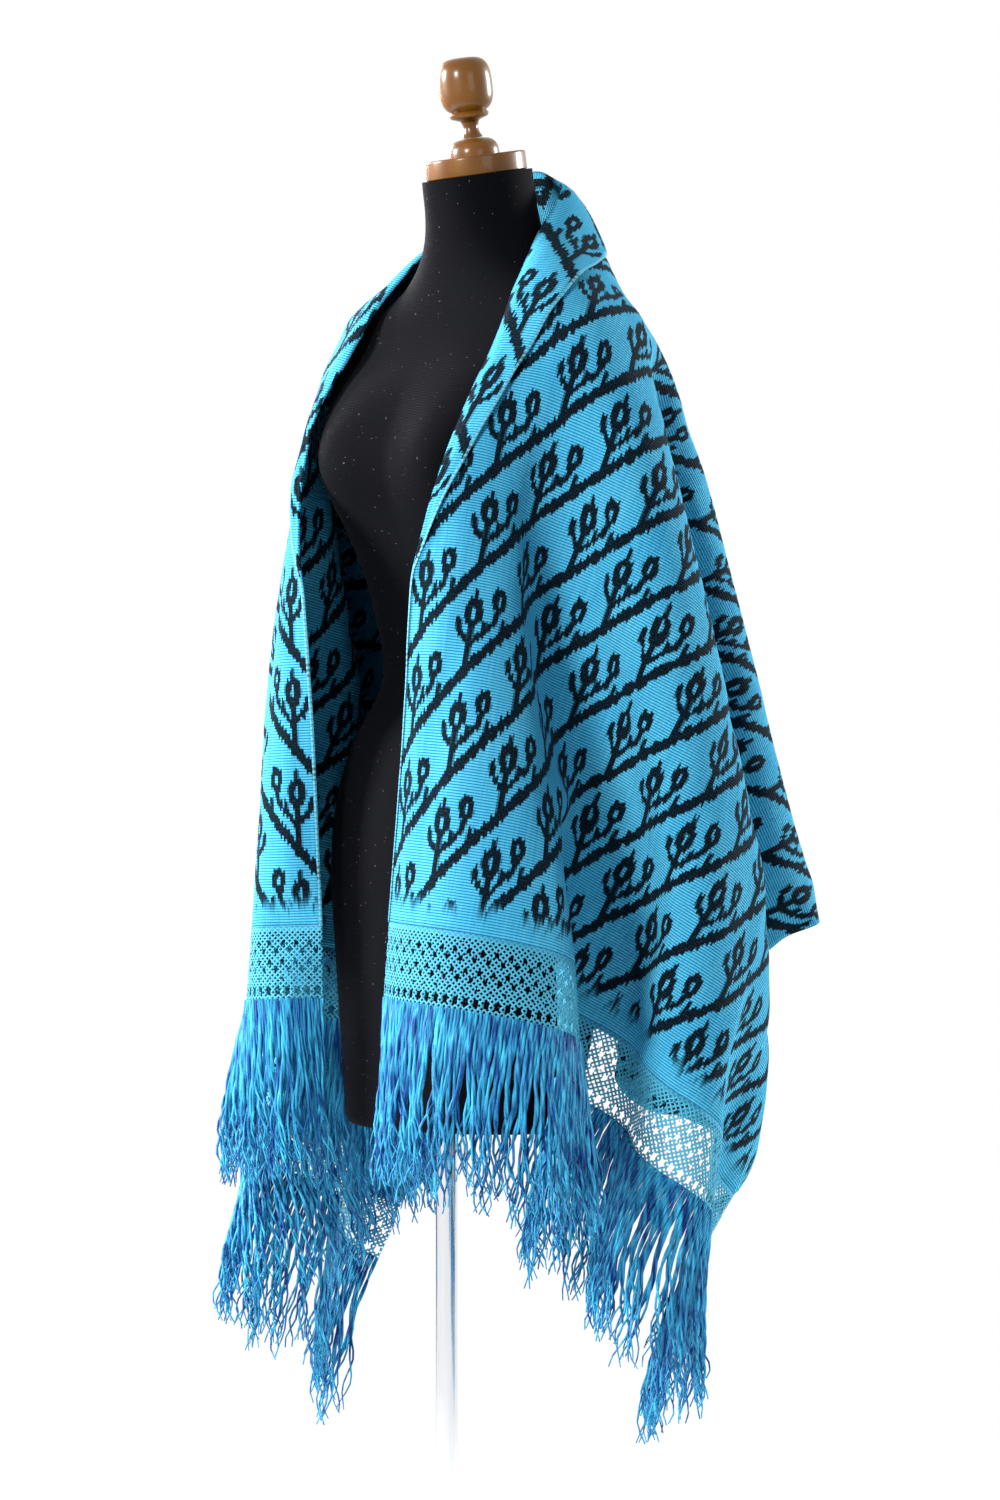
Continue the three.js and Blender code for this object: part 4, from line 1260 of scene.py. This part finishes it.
@dataclass
class Shawl:
    """The whole shawl: woven cloth with its folded collar, two nets and two fringes."""

    surface: ClothSurface
    thickness: float = 1.0
    column_steps: int = 5
    row_steps: int = 6
    collar_rows: int = 11
    collar_lift: float = 5.2
    least_fold: float = 2.6
    fold_roll: float = 2.2
    fold_roll_rows: float = 1.3
    net_lines: int = 12
    knots: int = 80
    gap_width: float = 4.6
    gap_top: float = 13.0
    gap_foot: float = 6.0
    locks_per_knot: int = 3
    lock_length: float = 158.0
    lock_points: int = 20
    lock_root: float = 2.0
    seed: int = 20
    plies: int = 2
    lock_twist: float = 15.0
    ply_gap: float = 0.85
    tip_spread: float = 3.4
    curl_reach: float = 4.2
    sway_reach: float = 3.0
    taper: float = 0.62
    yarn_radius: float = 1.6
    yarn_sides: int = 4

    def warp_lines(self) -> np.ndarray:
        """Places along the warp where the woven cloth has a line of corners."""
        drape = self.surface.drape
        count = drape.woven_columns * 2 * self.column_steps
        return np.linspace(-drape.woven_half, drape.woven_half, count + 1)

    def build_cloth(self) -> bpy.types.Object:
        """Builds the woven cloth from the collar's free edge over the fold to the lower edge."""
        drape = self.surface.drape
        u = self.warp_lines()
        true_fold = drape.collar(u)
        fold = np.maximum(true_fold, self.least_fold)
        main = np.linspace(0.0, 1.0, drape.across * self.row_steps + 1)
        v_main = true_fold[:, None] + (drape.width - true_fold)[:, None] * main[None, :]
        u_main = np.repeat(u[:, None], len(main), axis=1)
        body = self.surface.place(u_main, v_main)
        share = np.linspace(1.0, 0.0, self.collar_rows, endpoint=False)
        rolled = share[None, :] * fold[:, None]
        u_turn = np.repeat(u[:, None], len(share), axis=1)
        lift = self.collar_lift * smooth(0.0, 9.0, rolled) * np.minimum(fold / 14.0, 1.0)[:, None]
        wave = 1.3 * np.sin(u * 0.045)[:, None] + 0.8 * np.sin(u * 0.11 + 1.0)[:, None]
        lift = lift + share[None, :] ** 3 * wave * np.minimum(fold / 30.0, 1.0)[:, None]
        lift = np.maximum(lift, np.minimum(rolled, 1.5))
        over = self.surface.place(u_turn, true_fold[:, None] + rolled, lift)
        places = np.concatenate([over, body], axis=1)
        rise = self.roll_direction(body) * (self.fold_roll * np.minimum(fold / 20.0, 1.0))[:, None]
        near_fold = np.exp(-((np.arange(places.shape[1]) - self.collar_rows) / self.fold_roll_rows) ** 2)
        places += rise[:, None, :] * near_fold[None, :, None]
        v_over = fold[:, None] - rolled
        flat = np.stack(
            [
                np.concatenate([u_turn, u_main], axis=1),
                np.concatenate([v_over, v_main], axis=1),
            ],
            axis=2,
        )
        return shell("woven_cloth", places, flat, self.thickness)

    @staticmethod
    def roll_direction(body: np.ndarray) -> np.ndarray:
        """Direction from the cloth up past its folded edge, at each line."""
        way = body[:, 0] - body[:, 2]
        return way / (np.linalg.norm(way, axis=1, keepdims=True) + 1e-9)

    def build_net(self, side: Side) -> bpy.types.Object:
        """Builds one net band with the larger gaps between the knots at its foot.

        Args:
            side: Which end of the cloth.

        Returns:
            The net.
        """
        drape = self.surface.drape
        hem = drape.woven_half + drape.net_depth
        gap_middle = (self.gap_top + self.gap_foot) / 2
        above = np.linspace(drape.woven_half, hem - self.gap_top, self.net_lines)
        down = np.append(above, [hem - gap_middle, hem - self.gap_foot, hem - self.gap_foot / 2, hem])
        pitch = drape.width / self.knots
        centres = (np.arange(self.knots) + 0.5) * pitch
        lines = [np.array([0.0])]
        for centre in centres:
            lines.append(np.array([centre - self.gap_width / 2, centre, centre + self.gap_width / 2]))
        lines.append(np.array([drape.width]))
        v = np.concatenate(lines)
        keep = np.ones((len(down) - 1, len(v) - 1), bool)
        first = int(np.argmin(np.abs(down - (hem - self.gap_top))))
        gap = np.zeros(len(v) - 1, bool)
        gap[1::3] = True
        gap[2::3] = True
        gap[-1] = False
        keep[first:first + 2, gap] = False
        u_flat = np.repeat(down[:, None] * side.value, len(v), axis=1)
        v_flat = np.repeat(v[None, :], len(down), axis=0)
        if side is Side.RIGHT:
            u_flat, v_flat, keep = u_flat[::-1], v_flat[::-1], keep[::-1]
        places = self.surface.place(u_flat, v_flat)
        flat = np.stack([u_flat, v_flat], axis=2)
        return shell(f"net_band_{side.name.lower()}", places, flat, self.thickness, keep)

    def across_hem(self, u: np.ndarray, v: np.ndarray) -> np.ndarray:
        """Level directions along the net's foot."""
        width = self.surface.drape.width
        after = self.surface.place(u, np.minimum(v + 8, width))
        before = self.surface.place(u, np.maximum(v - 8, 0))
        across = after - before
        across[:, 2] = 0.0
        return across / (np.linalg.norm(across, axis=1, keepdims=True) + 1e-9)

    def lock_lines(self, way: np.ndarray, length: np.ndarray) -> np.ndarray:
        """Middle lines of the locks, measured from their roots.

        Args:
            way: The direction in which the cloth ends above each lock.
            length: The length of each lock.

        Returns:
            Offsets by lock and step.
        """
        t = np.linspace(0.0, 1.0, self.lock_points)
        shares, leans = np.array(LOCK_LEAN).T
        lean = np.interp(t, shares, leans)
        drop = np.full((len(way), len(t)), -1.0)
        fall = np.stack([way[:, None, 0] * lean, way[:, None, 1] * lean, drop], axis=2)
        # The first two points still follow the cloth's own direction
        fall[:, :2, :] = way[:, None, :] * 0.8 + fall[:, :2, :] * 0.3
        fall /= np.linalg.norm(fall, axis=2, keepdims=True)
        return fall * (length[:, None] * t[None, :])[..., None]

    def lock_paths(self, side: Side) -> tuple[np.ndarray, np.ndarray]:
        """Paths of the fringe's yarns.

        Args:
            side: Which end of the cloth.

        Returns:
            Places by yarn and step, and the yarn's relative thickness there.
        """
        chance = np.random.default_rng(self.seed + side.value)
        drape = self.surface.drape
        hem = drape.woven_half + drape.net_depth
        count = self.knots * self.locks_per_knot
        v = (np.arange(count) + 0.5) * drape.width / count
        v = np.clip(v + chance.uniform(-0.9, 0.9, count), 1.0, drape.width - 1.0)
        u = np.full(count, side.value * hem)
        root = self.surface.place(u - side.value * self.lock_root, v)
        way = self.surface.place(u, v) - self.surface.place(u - side.value * 12.0, v)
        way /= np.linalg.norm(way, axis=1, keepdims=True)
        across = self.across_hem(u, v)
        through = np.stack([-across[:, 1], across[:, 0], np.zeros(count)], axis=1)
        uneven = 0.07 * np.sin(np.arange(count) * 0.57) + chance.uniform(-0.1, 0.06, count)
        centre = root[:, None, :] + self.lock_lines(way, self.lock_length * (1 + uneven))
        slow = chance.uniform(0, 6.3, (count, 4))
        drift = chance.normal(0, 1.0, (count, 2))
        t = np.linspace(0.0, 1.0, self.lock_points)[None, :]
        paths, thick = [], []
        for ply in range(self.plies):
            turn = t * (self.lock_twist + slow[:, :1]) + slow[:, 1:2] + ply * math.pi
            spread = self.tip_spread * smooth(0.45, 1.0, t)
            open_up = self.ply_gap + spread * (0.4 + slow[:, 2:3] / 6.3)
            bend = np.sin(t * (5.0 + slow[:, 3:4]) + slow[:, :1])
            curl = self.curl_reach * bend * smooth(0.05, 0.7, t) + drift[:, :1] * 5.0 * t**2
            sway = self.sway_reach * np.cos(t * 6.0 + slow[:, 1:2]) * t + drift[:, 1:] * 3.0 * t**2
            side_way = (np.cos(turn) * open_up + curl)[..., None] * across[:, None, :]
            front_way = (np.sin(turn) * open_up + sway)[..., None] * through[:, None, :]
            paths.append(centre + side_way + front_way)
            thick.append(np.repeat(1.0 - self.taper * t**3, count, axis=0))
        return np.concatenate(paths), np.concatenate(thick)

    def build_fringe(self, side: Side, yarn: bpy.types.Material) -> bpy.types.Object:
        """Builds one fringe: paths swept by Geometry Nodes with a small round section.

        Args:
            side: Which end of the cloth.
            yarn: The yarn's material.

        Returns:
            The fringe as a plain mesh.
        """
        paths, thick = self.lock_paths(side)
        count, steps = paths.shape[:2]
        mesh = bpy.data.meshes.new("yarn_paths")
        number = np.arange(count * steps).reshape(count, steps)
        edges = np.stack([number[:, :-1].ravel(), number[:, 1:].ravel()], axis=1)
        mesh.from_pydata((paths.reshape(-1, 3) * MM).tolist(), edges.tolist(), [])
        thickness = mesh.attributes.new("thick", "FLOAT", "POINT")
        thickness.data.foreach_set("value", thick.astype(np.float32).ravel())
        carrier = bpy.data.objects.new("yarn_carrier", mesh)
        bpy.context.scene.collection.objects.link(carrier)
        tree = self.sweep_tree(yarn)
        modifier = carrier.modifiers.new("sweep", "NODES")
        modifier.node_group = tree
        sizes = {"Yarn Radius": self.yarn_radius * MM, "Sides": self.yarn_sides}
        for item in tree.interface.items_tree:
            if item.item_type == "SOCKET" and item.in_out == "INPUT" and item.name in sizes:
                modifier[item.identifier] = sizes[item.name]
        graph = bpy.context.evaluated_depsgraph_get()
        swept = bpy.data.meshes.new_from_object(carrier.evaluated_get(graph))
        carrier.modifiers.clear()
        bpy.data.objects.remove(carrier)
        fringe = bpy.data.objects.new(f"fringe_yarn_{side.name.lower()}", swept)
        bpy.context.scene.collection.objects.link(fringe)
        face_outward(fringe)
        shade(fringe)
        return fringe

    @staticmethod
    def sweep_tree(yarn: bpy.types.Material) -> bpy.types.NodeTree:
        """Geometry Nodes that sweep a round section along every path."""
        tree = bpy.data.node_groups.new("yarn_sweep", "GeometryNodeTree")
        tree.interface.new_socket("Geometry", in_out="INPUT", socket_type="NodeSocketGeometry")
        tree.interface.new_socket("Yarn Radius", in_out="INPUT", socket_type="NodeSocketFloat")
        tree.interface.new_socket("Sides", in_out="INPUT", socket_type="NodeSocketInt")
        tree.interface.new_socket("Geometry", in_out="OUTPUT", socket_type="NodeSocketGeometry")
        start = tree.nodes.new("NodeGroupInput")
        end = tree.nodes.new("NodeGroupOutput")
        to_curve = tree.nodes.new("GeometryNodeMeshToCurve")
        thick = tree.nodes.new("GeometryNodeInputNamedAttribute")
        thick.data_type = "FLOAT"
        thick.inputs["Name"].default_value = "thick"
        section = tree.nodes.new("GeometryNodeCurvePrimitiveCircle")
        sweep = tree.nodes.new("GeometryNodeCurveToMesh")
        sweep.inputs["Fill Caps"].default_value = True
        realize = tree.nodes.new("GeometryNodeRealizeInstances")
        dress = tree.nodes.new("GeometryNodeSetMaterial")
        dress.inputs["Material"].default_value = yarn
        link = tree.links.new
        link(start.outputs["Geometry"], to_curve.inputs["Mesh"])
        link(start.outputs["Yarn Radius"], section.inputs["Radius"])
        link(start.outputs["Sides"], section.inputs["Resolution"])
        link(to_curve.outputs["Curve"], sweep.inputs["Curve"])
        link(thick.outputs["Attribute"], sweep.inputs["Scale"])
        link(section.outputs["Curve"], sweep.inputs["Profile Curve"])
        link(sweep.outputs["Mesh"], realize.inputs["Geometry"])
        link(realize.outputs["Geometry"], dress.inputs["Geometry"])
        link(dress.outputs["Geometry"], end.inputs["Geometry"])
        return tree

    def build(self) -> list[bpy.types.Object]:
        """Builds and dresses the cloth, nets and fringes."""
        drape = self.surface.drape
        cloth = self.build_cloth()
        cloth.data.materials.append(SprigCloth().make())
        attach(cloth, "root")
        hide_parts("shawl_right", "shawl_back", "shawl_left",
                    "collar_right", "collar_back", "collar_left")
        made = [cloth]
        knotted = KnottedNet(drape.woven_half).make()
        yarn = FringeYarn().make()
        for side in Side:
            word = side.name.lower()
            net = self.build_net(side)
            net.data.materials.append(knotted)
            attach(net, "root")
            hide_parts(f"net_{word}")
            fringe = self.build_fringe(side, yarn)
            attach(fringe, "root")
            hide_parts(f"fringe_{word}")
            made += [net, fringe]
        return made


@dataclass
class DressForm:
    """The form that the shawl hangs on: torso, turned cap and knob, pole and round foot."""

    torso: Torso
    sides: int = 112
    cap_radius: float = 47.0
    cap_height: float = 17.5
    dome_radius: float = 23.5
    dome_top: float = 34.0
    stem_radius: float = 5.5
    flare_radius: float = 18.4
    knob_radius: float = 25.0
    knob_foot: float = 57.0
    knob_top: float = 108.0
    pole_radius: float = 10.0
    base_radius: float = 160.0
    base_height: float = 22.0
    seam: float = 0.3

    def turned(self, name: str, profile: Sequence[tuple[float, float]]) -> bpy.types.Object:
        """Turns a profile about the upright axis into a closed piece.

        Args:
            name: The piece's name.
            profile: Radius and height of each corner, the first and last on the axis.

        Returns:
            The piece.
        """
        n = self.sides
        angle = np.linspace(0, 2 * math.pi, n, endpoint=False)
        inner = profile[1:-1]
        points = [(0.0, 0.0, profile[0][1])]
        for radius, height in inner:
            points += [(radius * math.cos(a), radius * math.sin(a), height) for a in angle]
        points.append((0.0, 0.0, profile[-1][1]))
        faces: list[list[int]] = []
        last = len(points) - 1
        for k in range(n):
            after = (k + 1) % n
            faces.append([0, 1 + after, 1 + k])
            top = 1 + (len(inner) - 1) * n
            faces.append([last, top + k, top + after])
            for r in range(len(inner) - 1):
                a, b = 1 + r * n + k, 1 + r * n + after
                faces.append([a, b, b + n, a + n])
        piece = mesh_object(name, np.array(points) * MM, faces)
        face_outward(piece)
        shade(piece, 38.0)
        return piece

    def on_neck(self, piece: bpy.types.Object, lift: float) -> None:
        """Tilts a turned piece with the neck and sets it on top, in its mesh."""
        _, mid, _, _ = self.torso.section(np.array([self.torso.neck_top]))
        lean = self.torso.neck_lean
        for vertex in piece.data.vertices:
            x, y, z = vertex.co
            z += lift * MM
            turned_y = y * math.cos(lean) - z * math.sin(lean)
            turned_z = y * math.sin(lean) + z * math.cos(lean)
            vertex.co = (x, turned_y + float(mid[0]) * MM, turned_z + self.torso.neck_top * MM)
        piece.data.update()

    @staticmethod
    def rounded(corners: Sequence[tuple[float, float, float]], steps: int = 5) -> list[tuple[float, float]]:
        """Rounds the corners of a profile.

        Args:
            corners: Radius, height and rounding of each corner.
            steps: Points on each rounded corner.

        Returns:
            Profile points.
        """
        found: list[tuple[float, float]] = []
        for k, (r, h, size) in enumerate(corners):
            if size <= 0 or k in (0, len(corners) - 1):
                found.append((r, h))
                continue
            here = np.array([r, h])
            before, after = np.array(corners[k - 1][:2]), np.array(corners[k + 1][:2])
            start = here + (before - here) / np.linalg.norm(before - here) * size
            end = here + (after - here) / np.linalg.norm(after - here) * size
            for t in np.linspace(0, 1, steps):
                point = start * (1 - t) ** 2 + here * 2 * t * (1 - t) + end * t**2
                found.append((float(point[0]), float(point[1])))
        return found

    def build_cap(self) -> bpy.types.Object:
        """Builds the neck cap with its domed disc."""
        profile = self.rounded(
            [
                (0, 0, 0),
                (self.cap_radius, 0, 1.2),
                (self.cap_radius, self.cap_height, 2.0),
                (self.dome_radius + 1.5, self.cap_height, 0.8),
            ]
        )
        for k in range(17):
            angle = 0.48 * math.pi * k / 16
            rise = (self.dome_top - self.cap_height) * math.sin(angle) ** 0.75
            profile.append((self.dome_radius * math.cos(angle) ** 0.5, self.cap_height + rise))
        profile.append((0, self.dome_top))
        cap = self.turned("cap_turned", profile)
        self.on_neck(cap, self.seam)
        return cap

    def build_knob(self) -> bpy.types.Object:
        """Builds the knob on its waisted stem."""
        corners = [
            (0, self.dome_top, 0),
            (10.5, self.dome_top, 0.8),
            (self.stem_radius + 2.5, self.dome_top + 4, 1.5),
            (self.stem_radius + 1, self.dome_top + 10, 2.0),
            (self.stem_radius + 3, self.knob_foot - 7, 2.0),
            (self.flare_radius - 1, self.knob_foot - 4, 1.0),
            (self.flare_radius, self.knob_foot - 1, 1.0),
        ]
        profile = self.rounded(corners)
        middle = (self.knob_foot + self.knob_top) / 2
        half = (self.knob_top - self.knob_foot) / 2
        for k in range(37):
            angle = -0.36 * math.pi + 0.85 * math.pi * k / 36
            rise = math.copysign(abs(math.sin(angle)) ** 0.68, angle) * half
            profile.append((self.knob_radius * max(math.cos(angle), 0.0) ** 0.52, middle + rise))
        profile.append((0, self.knob_top))
        knob = self.turned("knob_turned", profile)
        self.on_neck(knob, self.seam * 2)
        return knob

    def build_stand(self) -> list[bpy.types.Object]:
        """Builds the round foot and the pole."""
        base = self.turned(
            "stand_foot",
            self.rounded(
                [
                    (0, 0, 0),
                    (self.base_radius, 0, 1.5),
                    (self.base_radius, self.base_height * 0.55, 2.5),
                    (self.base_radius * 0.97, self.base_height * 0.8, 3.0),
                    (self.base_radius * 0.9, self.base_height, 4.0),
                    (0, self.base_height, 0),
                ]
            ),
        )
        low, high = self.base_height + self.seam, self.torso.foot - self.seam
        corners = [(0, low, 0), (self.pole_radius, low, 0.8), (self.pole_radius, high, 0.8), (0, high, 0)]
        return [base, self.turned("stand_pole", self.rounded(corners))]

    def build(self) -> list[bpy.types.Object]:
        """Builds and dresses the dress form."""
        amber = VarnishedWood("amber_wood", (0.18, 0.066, 0.003, 1.0), (0.085, 0.026, 0.002, 1.0))
        walnut = VarnishedWood("stand_wood", (0.22, 0.10, 0.025, 1.0), (0.09, 0.036, 0.009, 1.0), 0.3)
        turned = amber.make()
        body = self.torso.build()
        base, pole = self.build_stand()
        rows = (
            (body, "form_body", "jersey", BlackJersey().make()),
            (self.build_cap(), "neck_cap", "turned_wood", turned),
            (self.build_knob(), "finial", "turned_wood", turned),
            (base, "base", "stand_wood", walnut.make()),
            (pole, "pole", "pole_steel", PolishedSteel().make()),
        )
        for piece, node, slot, material in rows:
            piece.data.materials.append(material)
            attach(piece, "root")
            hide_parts(node)
        return [row[0] for row in rows]


@dataclass
class Studio:
    """Pale floor, soft lights and the camera, level at the picture's angle."""

    azimuth: float = 47.0
    height: float = 0.958
    distance: float = 4.0
    tall: float = 1.38
    aside: float = 0.049
    sky: float = 0.24
    sky_colour: Colour = (0.36, 0.68, 1.0, 1.0)
    floor_radius: float = 1.7
    aim_height: float = 1.05
    sensor: float = 36.0

    def toward_camera(self) -> np.ndarray:
        """Level direction from the form to the camera."""
        a = math.radians(self.azimuth)
        return np.array([math.sin(a), -math.cos(a), 0.0])

    def to_right(self) -> np.ndarray:
        """Level direction to the picture's right."""
        a = math.radians(self.azimuth)
        return np.array([math.cos(a), math.sin(a), 0.0])

    def set_camera(self) -> None:
        """Places the camera level, with a view as tall as named at the form's distance."""
        data = bpy.data.cameras.new("view")
        data.sensor_fit = "VERTICAL"
        data.sensor_height = self.sensor
        data.lens = self.sensor * self.distance / self.tall
        camera = bpy.data.objects.new("view", data)
        bpy.context.scene.collection.objects.link(camera)
        place = self.toward_camera() * self.distance + self.to_right() * self.aside
        camera.location = (place[0], place[1], self.height)
        camera.rotation_euler = (math.pi / 2, 0.0, math.radians(self.azimuth))
        bpy.context.scene.camera = camera

    def lay_floor(self) -> None:
        """Lays a pale round floor."""
        n, reach = 96, self.floor_radius
        turns = [2 * math.pi * k / n for k in range(n)]
        ring = [(reach * math.cos(turn), reach * math.sin(turn), 0.0) for turn in turns]
        floor = mesh_object("floor", np.array(ring), [list(range(n))])
        painter = Painter("floor_pale")
        cloud = painter.noise(painter.place(), 2.0, 2.0)
        colour = painter.mix(cloud, (0.86, 0.86, 0.86, 1.0), (0.90, 0.90, 0.90, 1.0))
        floor.data.materials.append(painter.finish(Base_Color=colour, Roughness=0.7 + cloud * 0.1))

    def light(self, row: LightRow) -> None:
        """Hangs one soft square light that faces the form."""
        data = bpy.data.lights.new(row.name, "AREA")
        data.size = row.size
        data.energy = row.power
        lamp = bpy.data.objects.new(row.name, data)
        bpy.context.scene.collection.objects.link(lamp)
        place = self.to_right() * row.right + self.toward_camera() * row.toward + np.array([0, 0, row.up])
        lamp.location = place
        aim = np.array([0, 0, self.aim_height]) - place
        flat = math.hypot(aim[0], aim[1])
        lamp.rotation_euler = (math.pi / 2 + math.atan2(aim[2], flat), 0.0, math.atan2(-aim[0], aim[1]))

    def set_sky(self) -> None:
        """Makes a white backdrop all round, and a softer cool light from it."""
        world = bpy.data.worlds.new("studio")
        world.use_nodes = True
        nodes, links = world.node_tree.nodes, world.node_tree.links
        nodes.clear()
        rays = nodes.new("ShaderNodeLightPath")
        soft, white = nodes.new("ShaderNodeBackground"), nodes.new("ShaderNodeBackground")
        soft.inputs["Color"].default_value = self.sky_colour
        soft.inputs["Strength"].default_value = self.sky
        white.inputs["Color"].default_value = (1.0, 1.0, 1.0, 1.0)
        white.inputs["Strength"].default_value = 1.0
        choose, end = nodes.new("ShaderNodeMixShader"), nodes.new("ShaderNodeOutputWorld")
        seen = nodes.new("ShaderNodeMath")
        seen.operation = "MAXIMUM"
        links.new(rays.outputs["Is Camera Ray"], seen.inputs[0])
        links.new(rays.outputs["Is Glossy Ray"], seen.inputs[1])
        links.new(seen.outputs[0], choose.inputs[0])
        links.new(soft.outputs[0], choose.inputs[1])
        links.new(white.outputs[0], choose.inputs[2])
        links.new(choose.outputs[0], end.inputs["Surface"])
        bpy.context.scene.world = world

    def build(self) -> None:
        """Sets the camera, floor, sky and lights."""
        self.set_camera()
        self.lay_floor()
        self.set_sky()
        for row in LIGHTS:
            self.light(row)
        bpy.context.scene.view_settings.view_transform = "Standard"


def main() -> None:
    logging.basicConfig(level=logging.INFO, format="%(message)s")
    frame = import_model()
    LOG.info("frame: %d nodes", len(frame["nodes"]))
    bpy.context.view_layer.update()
    torso = Torso()
    surface = ClothSurface(Drape(torso))
    Studio().build()
    for maker in (DressForm(torso), Shawl(surface)):
        for piece in maker.build():
            LOG.info("%s: %d faces", piece.name, len(piece.data.polygons))
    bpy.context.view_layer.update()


if __name__ == "__main__":
    main()
